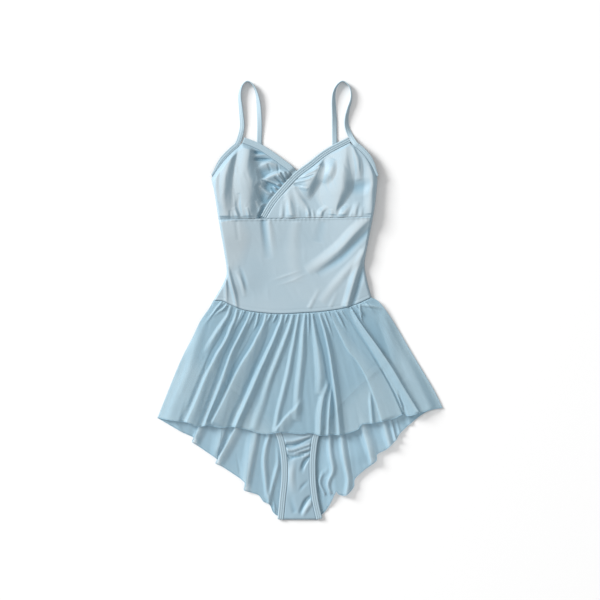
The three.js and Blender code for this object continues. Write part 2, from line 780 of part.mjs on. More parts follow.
// The front skirt lies over the brief, drops to the back skirt at its sides and lifts a little towards its hem.
const frontSkirtRelief = relief([...FRONT_SKIRT_FOLDS, ...gathers(frontHem, 1.6)]);
function skirtFrontTop(x, y) {
  const inside = inFromSkirtSide(x, y);
  const edge = lerp(SKIRT_FRONT_TOP, SKIRT_EDGE_TOP, smooth(4, 24, outsideBrief(x, y)));
  const level = lerp(edge, SKIRT_FRONT_TOP + HEM_RISE * smooth(-40, -190, y), smooth(0, SKIRT_SLOPE, inside));
  return level + frontSkirtRelief(x, y) * smooth(-2, 14, inside);
}

const skirtTopEdge = seamLine(waistSeam, WAIST.left, WAIST.right, -GAP / 2);
const SKIRT_COLUMNS = 4 * WAIST_STRETCHES;
const skirts = [
  cloth("skirt_front", {
    place: spread({ top: skirtTopEdge, bottom: frontHem, left: skirtLeft, right: skirtRight }),
    top: skirtFrontTop,
    under: (x, y) => skirtBackTop(x, y) + GAP,
    thick: NET,
    columns: SKIRT_COLUMNS,
    rows: 8,
    closer: 1.2,
    colour: NET_BLUE,
  }),
  cloth("skirt_back", {
    place: spread({ top: skirtTopEdge, bottom: backHem, left: skirtLeft, right: skirtRight }),
    top: skirtBackTop,
    thick: NET,
    columns: SKIRT_COLUMNS,
    rows: 11,
    colour: NET_BLUE,
  }),
];

const dress = new THREE.Group();
dress.add(...bodice, ...tapes, ...straps, ...brief, ...skirts);

export default dress;
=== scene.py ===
# %% [markdown]
# # A camisole dance dress, laid flat
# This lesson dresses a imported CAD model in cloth. The model is a dress on its back, seen from straight
# above: two crossed cups, a plain midriff, thin straps, a brief and a skirt of fine net that is short in
# front and long behind. Every panel is a height field: a grid of points on the panel's cut outline, raised
# by rows of soft folds. All sizes are millimetres on the page, and become metres when a mesh is made.

import bpy
import numpy as np
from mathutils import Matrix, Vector


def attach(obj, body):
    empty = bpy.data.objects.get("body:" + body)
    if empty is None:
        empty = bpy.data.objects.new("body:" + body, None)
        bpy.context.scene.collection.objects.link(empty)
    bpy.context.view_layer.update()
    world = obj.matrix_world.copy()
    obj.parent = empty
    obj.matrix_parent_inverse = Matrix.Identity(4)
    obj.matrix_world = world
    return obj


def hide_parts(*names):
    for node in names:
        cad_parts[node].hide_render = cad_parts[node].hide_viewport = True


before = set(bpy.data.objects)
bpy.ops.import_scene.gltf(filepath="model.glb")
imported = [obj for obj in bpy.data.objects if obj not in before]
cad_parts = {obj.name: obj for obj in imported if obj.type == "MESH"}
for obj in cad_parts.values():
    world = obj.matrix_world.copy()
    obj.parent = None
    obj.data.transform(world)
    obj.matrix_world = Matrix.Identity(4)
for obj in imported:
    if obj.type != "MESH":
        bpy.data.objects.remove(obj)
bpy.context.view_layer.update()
MM = 0.001

# %% [markdown]
# ## The measures
# A maker works from a few sizes: how thick each cloth is, how wide the tapes are cut, and how high each
# layer lies when the dress is put down. Everything below is worked out from these and from short tables of
# folds.

# %% Cloth, tapes and layers
JERSEY = 1.2
NET = 1.0
TAPE_THICK = 1.8
TAPE_WIDE = 10.0
STRAP_THICK = 1.6
STRAP_WIDE = 8.0
GAP = 0.3

BACK_TOP = JERSEY
SKIRT_BACK_TOP = NET
BRIEF_BACK_TOP = SKIRT_BACK_TOP + GAP + JERSEY
BRIEF_FRONT_TOP = BRIEF_BACK_TOP + GAP + JERSEY
LEG_TAPE_TOP = BRIEF_BACK_TOP + GAP + TAPE_THICK
SKIRT_FRONT_TOP = LEG_TAPE_TOP + GAP + NET
SKIRT_EDGE_TOP = SKIRT_BACK_TOP + GAP + NET
FRONT_EDGE_TOP = BACK_TOP + GAP + JERSEY
FRONT_TOP = BRIEF_FRONT_TOP + GAP + JERSEY
UNDERWRAP_TOP = 3.4
OVERWRAP_TOP = UNDERWRAP_TOP + GAP + JERSEY
print("front level", FRONT_TOP, "mm, front skirt level", round(SKIRT_FRONT_TOP, 1), "mm")

# %% [markdown]
# ## Curves and blends
# Three small tools draw every outline. `smooth` blends from 0 to 1. `through` draws a smooth height through
# a few marks. `line` walks evenly along a smooth line in plan. They work on whole numpy arrays at once.

# %% Blends and curves


def lerp(a, b, t):
    """a at t = 0, b at t = 1, and straight between."""
    return a + (b - a) * t


def smooth(start, end, t):
    """s * s * (3 - 2 * s), where s is how far t lies from start to end, held between 0 and 1."""
    s = np.clip((t - start) / (end - start), 0, 1)
    return s * s * (3 - 2 * s)


def through(pairs):
    """A curve through (position, value) pairs: cubic pieces with shared slopes, straight past both ends."""
    at, value = np.array(pairs, float).T
    last = len(at) - 1
    after = np.minimum(np.arange(last + 1) + 1, last)
    before = np.maximum(np.arange(last + 1) - 1, 0)
    slope = (value[after] - value[before]) / (at[after] - at[before])

    def curve(x):
        x = np.asarray(x, float)
        i = np.clip(np.searchsorted(at, x, side="right") - 1, 0, last - 1)
        step = at[i + 1] - at[i]
        t = np.clip((x - at[i]) / step, 0, 1)
        inside = (
            value[i] * (1 + 2 * t) * (1 - t) ** 2
            + slope[i] * step * t * (1 - t) ** 2
            + value[i + 1] * t * t * (3 - 2 * t)
            + slope[i + 1] * step * t * t * (t - 1)
        )
        return inside + slope[0] * np.minimum(x - at[0], 0) + slope[-1] * np.maximum(x - at[-1], 0)

    return curve


STEPS_PER_POINT = 80


def line(points):
    """A Catmull-Rom line through points in plan, walked evenly by its length from 0 to 1."""
    p = np.array(points, float)
    t = np.linspace(0, len(p) - 1, STEPS_PER_POINT * len(p))
    i = np.minimum(t.astype(int), len(p) - 2)
    w = (t - i)[:, None]
    a, b, c, d = p[np.maximum(i - 1, 0)], p[i], p[i + 1], p[np.minimum(i + 2, len(p) - 1)]
    into, out = (c - a) / 2, (d - b) / 2
    fine = (2 * b - 2 * c + into + out) * w**3 + (3 * c - 3 * b - 2 * into - out) * w**2 + into * w + b
    length = np.concatenate([[0], np.cumsum(np.hypot(*np.diff(fine, axis=0).T))])

    def walk(share):
        far = np.clip(share, 0, 1) * length[-1]
        return np.stack([np.interp(far, length, fine[:, 0]), np.interp(far, length, fine[:, 1])], -1)

    walk.length = length[-1]
    return walk


LOOK_AHEAD = 0.01


def beside(walk, distance):
    """The same line moved sideways by distance, to the right of its walking direction."""

    def moved(share):
        ahead = walk(share + LOOK_AHEAD) - walk(share - LOOK_AHEAD)
        ahead /= np.hypot(ahead[..., :1], ahead[..., 1:])
        return walk(share) + distance * np.stack([ahead[..., 1], -ahead[..., 0]], -1)

    return moved


PIECES_OF_LINE = 90


def right_of(walk):
    """How far points lie to the right of a line: the distance to its nearest piece, negative on the left."""
    marks = walk(np.linspace(0, 1, PIECES_OF_LINE + 1))
    start, piece = marks[:-1], np.diff(marks, axis=0)

    def distance(x, y):
        shape = np.shape(x)
        px, py = np.ravel(x)[:, None] - start[:, 0], np.ravel(y)[:, None] - start[:, 1]
        t = np.clip((px * piece[:, 0] + py * piece[:, 1]) / (piece**2).sum(1), 0, 1)
        away = np.hypot(px - t * piece[:, 0], py - t * piece[:, 1])
        nearest = away.argmin(1)[:, None]
        side = np.sign(px * piece[:, 1] - py * piece[:, 0])
        return (np.take_along_axis(away, nearest, 1) * np.take_along_axis(side, nearest, 1)).reshape(shape)

    return distance


def table(columns, rows):
    """Rows of numbers as records with named columns."""
    return [dict(zip(columns.split(), row, strict=True)) for row in rows]


# %% [markdown]
# ## Where each panel is cut
# These are the seams and cut edges of the dress as it lies: the same lines that the CAD model uses, so each
# cloth piece falls exactly on its own solid.

# %% Seams of the bodice
WAIST = {"left": -143, "right": 118}
WAIST_Y = {"left": -1, "right": 4}
EMPIRE = {"left": -134.5, "right": 120.5}
EMPIRE_Y = {"left": 133, "right": 137}
CROSSED = {"left": -56, "right": 42}
CUP_SIDE_TOP = {"left": 200, "right": 199}
BACK_SIDE_TOP = {"left": 190, "right": 188}

left_side = through(
    [(-1, -143), (11, -136), (27, -127), (44, -121), (72, -124), (133, -134.5), (166, -139.5), (200, -146)]
)
right_side = through([(4, 118), (31, 111), (57, 106.5), (71, 108), (137, 120.5), (166, 125), (199, 128)])
waist_seam = through(
    [(-143, -1), (-127, -2), (-112, -9), (-91, -17), (-54, -22), (-27, -23), (1, -21.5), (37, -19)]
    + [(75, -13), (98, -5), (118, 4)]
)


def empire_seam(x):
    """A straight line from side to side."""
    share = (x - EMPIRE["left"]) / (EMPIRE["right"] - EMPIRE["left"])
    return lerp(EMPIRE_Y["left"], EMPIRE_Y["right"], share)


def seam_line(seam, from_x, to_x):
    """The seam as a walk from x to x."""
    return lambda t: np.stack([lerp(from_x, to_x, t), seam(lerp(from_x, to_x, t))], -1)


def side_line(side, from_y, to_y):
    """The side as a walk from y to y."""
    return lambda t: np.stack([side(lerp(from_y, to_y, t)), lerp(from_y, to_y, t)], -1)


def on_side(side, y):
    """The point of a side seam at a height y in plan."""
    return side(y), y


LEFT_TIP = (-95, 258.5)
RIGHT_TIP = (82, 258.5)
crossed_left, crossed_right = ((x, empire_seam(x)) for x in CROSSED.values())
left_neck = line([LEFT_TIP, (-67, 247), (-33.5, 224), (-14.5, 208), (11, 173), crossed_right])
left_armhole = line([LEFT_TIP, (-119.5, 235.5), (-134.5, 217), on_side(left_side, CUP_SIDE_TOP["left"])])
right_neck = line(
    [RIGHT_TIP, (47, 240), (20.5, 219.5), (-3.5, 201), (-24, 179), (-42, 157.5), crossed_left]
)
right_armhole = line([RIGHT_TIP, (101, 243), (115.5, 224), on_side(right_side, CUP_SIDE_TOP["right"])])
back_neck = line(
    [on_side(left_side, BACK_SIDE_TOP["left"]), (-110, 181), (-67, 173), (-6, 162), (57, 173), (98, 181)]
    + [on_side(right_side, BACK_SIDE_TOP["right"])]
)


def backwards(walk):
    """The same walk from its end to its start."""
    return lambda t: walk(1 - t)


print("neckline left", round(left_neck.length), "mm, right", round(right_neck.length), "mm")

# %% [markdown]
# ## Folds
# A fold is a rounded ridge along a drawn line. Its two sides have widths of their own, because cloth that
# has slid over is steep on one side and slow on the other: light comes from the left, so a steep left side
# is a bright line and a steep right side is a dark one. A trough is a fold whose rise is negative. Folds
# were read off the photograph with a ruler, so their marks are in its pixels, and `on_page` turns them into
# millimetres on the dress. A marked row says: place, width of the left side, width of the right side, rise
# in millimetres. A line that runs level is marked from left to right, and then its "left" side is the one
# below it.

# %% The height of a fold
PIXEL = 1.65
MIDDLE = (299.5, 298.8)
END_FADE = 4.0
LEAST_WIDE = 0.3
CREST_ROUND = 0.25
STRAIGHT_SHARE = 0.5


def on_page(px, py):
    """Pixels to millimetres, counted right and up from the middle of the picture."""
    return (px - MIDDLE[0]) * PIXEL, (MIDDLE[1] - py) * PIXEL


def crease(marks):
    """Marks (px, py, left, right, rise) as a function of x and y that gives height and where left is.

    With t = across / width, 0 on the drawn line and 1 at the foot, the height is rise times the mean of two
    shapes: a wave, (1 + cos(pi * t)) / 2, and straight sides whose crest is rounded by r,
    (hypot(1, r) - hypot(t, r)) / (hypot(1, r) - r).
    """
    px, py, left, right, rise = np.array(marks, float).T
    x, y = on_page(px, py)
    way = np.array([x[-1] - x[0], y[-1] - y[0]])
    length = np.hypot(*way)
    way = way / length
    along = (x - x[0]) * way[0] + (y - y[0]) * way[1]
    aside = (y - y[0]) * way[0] - (x - x[0]) * way[1]
    drawn, left_wide, right_wide, high = (
        through(list(zip(along, value, strict=True))) for value in (aside, left * PIXEL, right * PIXEL, rise)
    )

    def height(at_x, at_y):
        far = (at_x - x[0]) * way[0] + (at_y - y[0]) * way[1]
        held = np.clip(far, 0, length)
        across = (at_y - y[0]) * way[0] - (at_x - x[0]) * way[1] - drawn(held)
        wide = np.maximum(LEAST_WIDE, np.where(across < 0, left_wide(held), right_wide(held)))
        t = np.clip(across / wide, -1, 1)
        r = CREST_ROUND
        straight = (np.hypot(1, r) - np.hypot(t, r)) / (np.hypot(1, r) - r)
        shape = lerp((1 + np.cos(np.pi * t)) / 2, straight, STRAIGHT_SHARE)
        beyond = np.maximum(-far, far - length)
        return high(held) * shape * (1 - smooth(0, END_FADE, beyond))

    height.left = np.array([way[1], -way[0]])
    return height


def relief(folds, x, y):
    """The sum of the folds' heights at each point."""
    return sum(crease(marks)(x, y) for marks in folds.values())


SMALL_TURN = 14
SMALL_HALF = (5, 14)
SMALL_WIDE = (0.7, 1.3)
SMALL_RISE = (0.4, 1.0)
SMALL_BEND = 0.5


def small_creases(seed, count, box, heading, wide, rise):
    """Short seeded folds in a box of pixels, all near one heading in degrees: the cloth's unevenness."""
    draw = np.random.default_rng(seed)
    low, high = np.array(box[0], float), np.array(box[1], float)
    middle = draw.uniform(low, high, (count, 2))
    turn = np.radians(heading + draw.normal(0, SMALL_TURN, count))
    half = draw.uniform(*SMALL_HALF, count)[:, None] * np.stack([np.cos(turn), np.sin(turn)], -1)
    widths = draw.uniform(*SMALL_WIDE, count) * wide
    rises = draw.uniform(*SMALL_RISE, count) * rise * draw.choice([-1, 1], count)
    bent = middle + draw.normal(0, SMALL_BEND, (count, 2))
    return {
        f"small {i}": [(*(m - h), w, w, 0), (*b, w, w, r), (*(m + h), w, w, 0)]
        for i, (m, b, h, w, r) in enumerate(zip(middle, bent, half, widths, rises, strict=True))
    }


# %% [markdown]
# ## From a grid to cloth
# `spread` fills four edges with a grid (a Coons patch). `cloth` turns a grid with heights into a thin
# closed shell: the upper face, a lower face one thickness below it along the surface's own direction, and a
# rim between them. The mesh is filled by `foreach_set`, with no loop over points.

# %% Grid, shell and mesh


def grid(columns, rows, closer=1.0):
    """Shares u across and v down, as two arrays. v to the power closer packs the rows at the top."""
    return np.meshgrid(np.linspace(0, 1, columns + 1), np.linspace(0, 1, rows + 1) ** closer)


def spread(top, bottom, left, right, u, v):
    """top and bottom blended down, plus left and right blended across, less the corners counted twice."""
    corner = [walk(np.array([end]))[0] for walk in (top, bottom) for end in (0.0, 1.0)]
    u3, v3 = u[..., None], v[..., None]
    edges = lerp(top(u), bottom(u), v3) + lerp(left(v), right(v), u3)
    place = edges - lerp(lerp(corner[0], corner[1], u3), lerp(corner[2], corner[3], u3), v3)
    return place[..., 0], place[..., 1]


def put_mesh(name, points, groups, uv):
    """A mesh object from points (n, 3) in millimetres, groups of faces (m, corners) and UVs in metres.

    The faces are turned round if the volume inside them, the sum of a . (b x c) / 6, comes out negative.
    """
    corners = [group[:, [0, k, k + 1]] for group in groups for k in range(1, group.shape[1] - 1)]
    a, b, c = points[np.concatenate(corners)].transpose(1, 0, 2)
    if np.einsum("ij,ij->i", a, np.cross(b, c)).sum() < 0:
        groups = [group[:, ::-1] for group in groups]
    loops = np.concatenate([group.ravel() for group in groups]).astype(np.int32)
    sizes = np.concatenate([np.full(len(group), group.shape[1]) for group in groups])
    mesh = bpy.data.meshes.new(name)
    mesh.vertices.add(len(points))
    mesh.vertices.foreach_set("co", (points * MM).ravel())
    mesh.loops.add(len(loops))
    mesh.loops.foreach_set("vertex_index", loops)
    mesh.polygons.add(len(sizes))
    mesh.polygons.foreach_set("loop_start", (np.cumsum(sizes) - sizes).astype(np.int32))
    mesh.update(calc_edges=True)
    mesh.polygons.foreach_set("use_smooth", np.ones(len(sizes), bool))
    mesh.uv_layers.new(name="cloth").data.foreach_set("uv", uv[loops].ravel())
    mesh.validate()
    piece = bpy.data.objects.new(name, mesh)
    bpy.context.scene.collection.objects.link(piece)
    return piece


def grid_quads(rows, columns, wrap=False):
    """The quads of a grid of rows by columns points. With wrap, the last column joins the first."""
    index = np.arange(rows * columns).reshape(rows, columns)
    if wrap:
        index = np.concatenate([index, index[:, :1]], 1)
    return np.stack([index[:-1, :-1], index[1:, :-1], index[1:, 1:], index[:-1, 1:]], -1).reshape(-1, 4)


def surface_normal(x, y, z):
    """The unit cross product of the grid's two directions, pointing up."""
    place = np.stack([x, y, z], -1)
    normal = np.cross(np.gradient(place, axis=0), np.gradient(place, axis=1))
    normal /= np.linalg.norm(normal, axis=-1, keepdims=True)
    return normal * np.sign(normal[..., 2:])


# Painted shade on steep sides: between these two slopes the cloth takes on more and more of its darker
# colour.
STEEP = (0.13, 0.5)
STEEP_SHADE_SHARE = 0.52
LEAST_UP = 0.05


def cloth(name, x, y, z, thick, uv, between=0.0):
    """A closed thin shell: the surface, the same surface moved down its normal by thick, and a rim.

    Its attribute "deep", 0 to 1, is painted shade: it tells the material where to darken the cloth towards
    its
    second, bluer colour, as if in shade: on steep sides, and wherever between, 0 on top of the folds and 1
    between them, is larger.
    """
    rows, columns = z.shape
    upper = np.stack([x, y, z], -1)
    developed(name, upper)
    normal = surface_normal(x, y, z)
    slope = np.hypot(normal[..., 0], normal[..., 1]) / np.maximum(normal[..., 2], LEAST_UP)
    deep = np.maximum(STEEP_SHADE_SHARE * smooth(*STEEP, slope), between)
    lower = upper - thick * normal
    lower[..., 2] = np.maximum(lower[..., 2], 0)
    count = rows * columns
    top = grid_quads(rows, columns)
    index = np.arange(count).reshape(rows, columns)
    edge = np.concatenate([index[0, :-1], index[:-1, -1], index[-1, :0:-1], index[:0:-1, 0]])
    following = np.roll(edge, -1)
    rim = np.stack([edge, following, following + count, edge + count], -1)
    quads = np.concatenate([top, top[:, ::-1] + count, rim])
    points = np.concatenate([upper.reshape(-1, 3), lower.reshape(-1, 3)])
    piece = put_mesh(name, points, [quads], np.concatenate([uv.reshape(-1, 2)] * 2))
    # The painted shade is kept on the mesh for the material to read.
    kept = piece.data.attributes.new("deep", "FLOAT", "POINT")
    kept.data.foreach_set("value", np.tile(deep.ravel(), 2).astype(np.float32))
    return piece


# Painted shade between the folds: for each panel, the fold heights at which it is full and at which it is
# gone. Flat cloth gets some of it too.
FOLD_SHADE_HEIGHTS = {
    "left cup": (-3.0, 4.4),
    "right cup": (-4.0, 2.6),
    "midriff": (-3.0, 1.6),
    "gusset": (-2.2, 2.8),
    "back skirt": (0.8, 7.6),
    "front skirt": (-2.8, 6.0),
}


def shade_between_folds(rise, panel):
    """Painted shade between folds: 1 where their height is the panel's first value or less, 0 at its second
    or more.
    """
    return 1 - smooth(*FOLD_SHADE_HEIGHTS[panel], rise)


def plan_uv(x, y):
    """The cloth's grain follows the body: x and y in metres."""
    return np.stack([x, y], -1) * MM


def walked(places, axis):
    """The length of each grid line along an axis, in millimetres, following every fold."""
    return np.linalg.norm(np.diff(places, axis=axis), axis=-1).sum(axis)


def developed(name, upper):
    """Prints how wide and long a surface is when its folds are drawn out, and its area."""
    across, along = walked(upper, 1), walked(upper, 0)
    a, b = upper[1:, 1:] - upper[:-1, :-1], upper[1:, :-1] - upper[:-1, 1:]
    area = np.linalg.norm(np.cross(a, b), axis=-1).sum() / 2
    print(
        f"{name}: across {across[0]:.0f} top, {across.max():.0f} widest, {across[-1]:.0f} bottom;",
        f"along {along.min():.0f} to {along.max():.0f}; area {area / 1e6:.4f} m2",
    )


def tell(piece):
    """Prints a piece's name and how many triangles it has."""
    quads = len(piece.data.polygons)
    print(f"{piece.name}: {2 * quads} triangles")


# %% [markdown]
# ## The level of the front
# The dress is flat but not dead flat. Air stays in beside the side seams, more of it at the bust and most
# on the right, where the photograph shows a wide soft shadow on the table. At the very edge the cloth turns
# over into the back, which a quarter of an ellipse does, down to the top of the back.

# %% Levels and turned edges
BODICE_SLOPE = 28
SKIRT_SLOPE = 22
SIDE_PUFF = 2.2
PUFF_END = (22, 75)
PUFF_START = (0, 30)
BUST_Y = 200
AIR_END = (10, 110)
EDGE_WIDE = {"left": 4.0, "right": 4.4}
TURNED_TOP = BACK_TOP + GAP
UNDER_BUST = 2.4
BUST_REACH = {"cups": 34, "midriff": 55}
HELD_FOLDS = 0.4
HELD_WITHIN = 6
PINCH = {
    "seam of the cups": (0.15, 1.6),
    "tape of the cups": (0.6, 1.6),
    "top of the midriff": (0.15, 1.2),
    "foot of the midriff": (1.0, 1.8),
    "tape of the leg": (0.5, 1.6),
    "top of the skirt": (1.2, 2.0),
}
right_air = through([(0, 0), (50, 1.4), (100, 3.6), (150, 4.8), (BUST_Y, 5)])


def front_level(x, y):
    """The height of the bodice's front before its folds, with the air beside both side seams."""
    from_left, from_right = x - left_side(y), right_side(y) - x
    near_side = 1 - smooth(*PUFF_END, np.minimum(from_left, from_right))
    puff = SIDE_PUFF * near_side * smooth(*PUFF_START, y)
    return FRONT_TOP + puff + right_air(np.clip(y, 0, BUST_Y)) * (1 - smooth(*AIR_END, from_right))


def turned(distance, wide):
    """The share of height lost at a distance from a turned edge: 1 - (1 - (1 - distance / wide)^2)^(1/2)."""
    d = np.clip(1 - distance / wide, 0, 1)
    return 1 - np.sqrt(np.maximum(1 - d**2, 0))


def side_turn(x, y, top):
    """top, brought down to the back at both side seams."""
    lost = turned(x - left_side(y), EDGE_WIDE["left"]) + turned(right_side(y) - x, EDGE_WIDE["right"])
    return top - (top - TURNED_TOP) * np.minimum(lost, 1)


def under_bust(distance, panel):
    """The cups hold the cloth up at the seam below them: UNDER_BUST there, gone at the panel's reach."""
    return UNDER_BUST * (1 - smooth(0, BUST_REACH[panel], distance))


def gathered_in(distance):
    """The share of a cup's folds that is left where the seam holds them flat."""
    return lerp(HELD_FOLDS, 1, smooth(0, HELD_WITHIN, distance))


def seam_pinch(distance, seam):
    """A seam pulls its cloth down: by its depth in PINCH at the stitches, by nothing at its reach."""
    depth, reach = PINCH[seam]
    return depth * (1 - smooth(0, reach, distance))


# %% [markdown]
# ## The cups
# Each cup is a triangle of stretch jersey gathered at the crossing and on the seam below. The left one runs
# under the right one. Light comes from the upper left, so a slope to the right is dark: the folds below are
# steeper on their right where the photograph shows a sharp dark edge. Cloth simulation would drape such a
# panel too, but it can't be asked for these folds in these places, so they are laid one by one.

# %% Folds of the left cup
LEFT_CUP_FOLDS = {
    "full of the cup": [
        (248, 141, 8, 5, 1.8), (249, 150, 11, 6, 4), (248, 161, 13, 8, 5), (248.6, 172, 15, 13, 5.2),
        (250.4, 181, 17, 17, 5.4), (250.6, 190, 16, 15, 4.8), (249, 202, 13, 12, 3.6),
        (249.4, 210, 11, 8, 2.8), (252, 218, 9, 6, 1.6),
    ],
    "the whole cup": [
        (243, 140, 12, 10, 1.5), (242, 150, 20, 14, 3.5), (240, 161, 30, 19, 5), (239, 172, 36, 24, 5.8),
        (238, 181, 40, 28, 6), (237, 190, 40, 28, 5.8), (236, 202, 36, 27, 4.6), (236, 211, 30, 24, 2.8),
        (236, 218, 30, 22, 1.8),
    ],
    "fold beside the armhole": [
        (234.5, 147, 9, 3.2, 1.8), (231.5, 155, 12, 5, 3.8), (227.5, 165, 14, 7.5, 5),
        (224.6, 176, 16, 8.5, 5.6), (222.8, 190, 16, 9.5, 5.6), (222.6, 203, 15, 11, 4.8),
        (225, 215, 12, 9, 2),
    ],
    "edge of the side": [
        (220, 161, 4, 3.5, 1.2), (216.5, 170, 4, 4, 2.2), (215.5, 184, 3, 4, 2), (216, 200, 3, 4, 0.8),
    ],
    "upper tongue": [(252.5, 151, 2.4, 2.2, -2.6), (258, 151.5, 2.2, 2.2, -2.8), (265, 152.5, 2, 2, -1.2)],
    "lower tongue": [(253, 158, 2.4, 2.2, -2.4), (261, 158.5, 2.4, 2.2, -3), (270, 158.5, 2, 2, -1.4)],
    "between the tongues": [(256, 154.8, 1.2, 1.5, 0.8), (267, 154.2, 1.2, 1.5, 1.2)],
    "light shelf": [
        (256, 168, 6, 3, 0.6), (263, 164, 7, 3.5, 2.2), (270, 162, 7, 3, 2.4), (278, 164, 5, 3, 1.2),
    ],
    "hollow in the shelf": [(268, 164, 2, 2, -0.9), (270, 169, 2, 2, -1)],
    "second hollow": [(277.5, 164, 1.6, 1.6, -1), (278, 171, 1.6, 1.6, -1.2)],
    "flap": [
        (260, 180.5, 6, 3, 0.5), (264.5, 178.3, 7, 2.5, 3.6), (270, 175.4, 8, 3, 4.4),
        (276, 173, 9, 3, 4.6), (282, 171.4, 9, 3, 4.4), (288, 172.4, 7, 3, 3),
    ],
    "bowl under the flap": [
        (258, 166, 5, 8, -0.8), (262, 174, 6, 12, -1.6), (266, 184, 7, 16, -2.2), (271, 192, 5, 12, -1.2),
    ],
    "gather 1": [(281, 172.5, 1.4, 1.4, -2.2), (285.8, 181, 1.3, 1.3, -2.4)],
    "gather 2": [(283.7, 172, 1.4, 1.4, 1.6), (287.4, 180, 1.2, 1.2, 1.8)],
    "gather 3": [(286.4, 172, 1.2, 1.3, -2), (289.2, 178, 1.2, 1.2, -2.2)],
    "gather 4": [(275.5, 177.3, 1.5, 1.5, -1.8), (283.8, 184.2, 1.4, 1.4, -2.4)],
    "gather 5": [(278, 175.3, 1.3, 1.3, 1.6), (285, 182.4, 1.2, 1.2, 2)],
    "gather 6": [(267, 179.8, 1.5, 1.5, 1.3), (274, 182, 1.4, 1.4, 1.8), (282, 184.8, 1.2, 1.2, 1.6)],
    "gather 7": [(263, 179.5, 1.6, 1.4, -1.6), (274, 184.8, 1.6, 1.5, -2.8), (282, 186.4, 1.3, 1.3, -2)],
    "ruffle 1": [(273.6, 185.6, 1.1, 1.1, 2.2), (279.4, 191, 1.1, 1.1, 2.2)],
    "ruffle 2": [(275.6, 184.8, 1, 1, -1.8), (280.8, 189.4, 1, 1, -2.2)],
    "ruffle 3": [(277.4, 184.4, 1, 1, 1.8), (282.4, 188, 1, 1, 2)],
    "ruffle 4": [(272, 188, 1.1, 1.1, -1.8), (277, 193, 1.1, 1.1, -2.4)],
    "ruffle 5": [(271.4, 191, 1.1, 1.1, 1.6), (275.4, 194.8, 1.1, 1.1, 2)],
    "grey tongue": [(261, 186, 2.5, 3, 0.8), (266, 191, 2.5, 3, 1.8), (272, 194, 2, 3, 1.2)],
    "dark crescent": [
        (256.6, 186, 3, 7, -1.2), (258.8, 193, 3, 8, -2), (262, 199, 3.4, 8, -2.2),
        (266.5, 201, 3.4, 6, -2), (271, 198, 3, 4, -1.4),
    ],
    "slope beside the crossing": [
        (257, 201, 2.5, 2.5, 0.5), (259, 208, 2.5, 2.5, 0.7), (259.5, 214, 2, 2, 0.4),
    ],
    "dark foot": [(263, 206, 2.5, 2.5, -2), (257.5, 218, 2, 2.5, -2.6)],
    "soft line": [(238.5, 194, 4, 3, -0.5), (238, 204, 4, 3, -1.2), (240, 214, 3, 3, -0.8)],
    "tuck 1": [(234, 208, 3, 3, 0.6), (238, 217.5, 3, 3, 1.6)],
    "tuck 2": [(247, 208, 2.5, 2, 0.6), (249, 217.5, 2.5, 2, 1.2)],
    "tuck 3": [(230, 211, 2, 2, -0.4), (230, 217.5, 2, 2, -0.8)],
}
LEFT_CUP_SMALL = small_creases(3, 30, ((212, 160), (262, 214)), heading=88, wide=2.5, rise=0.22)

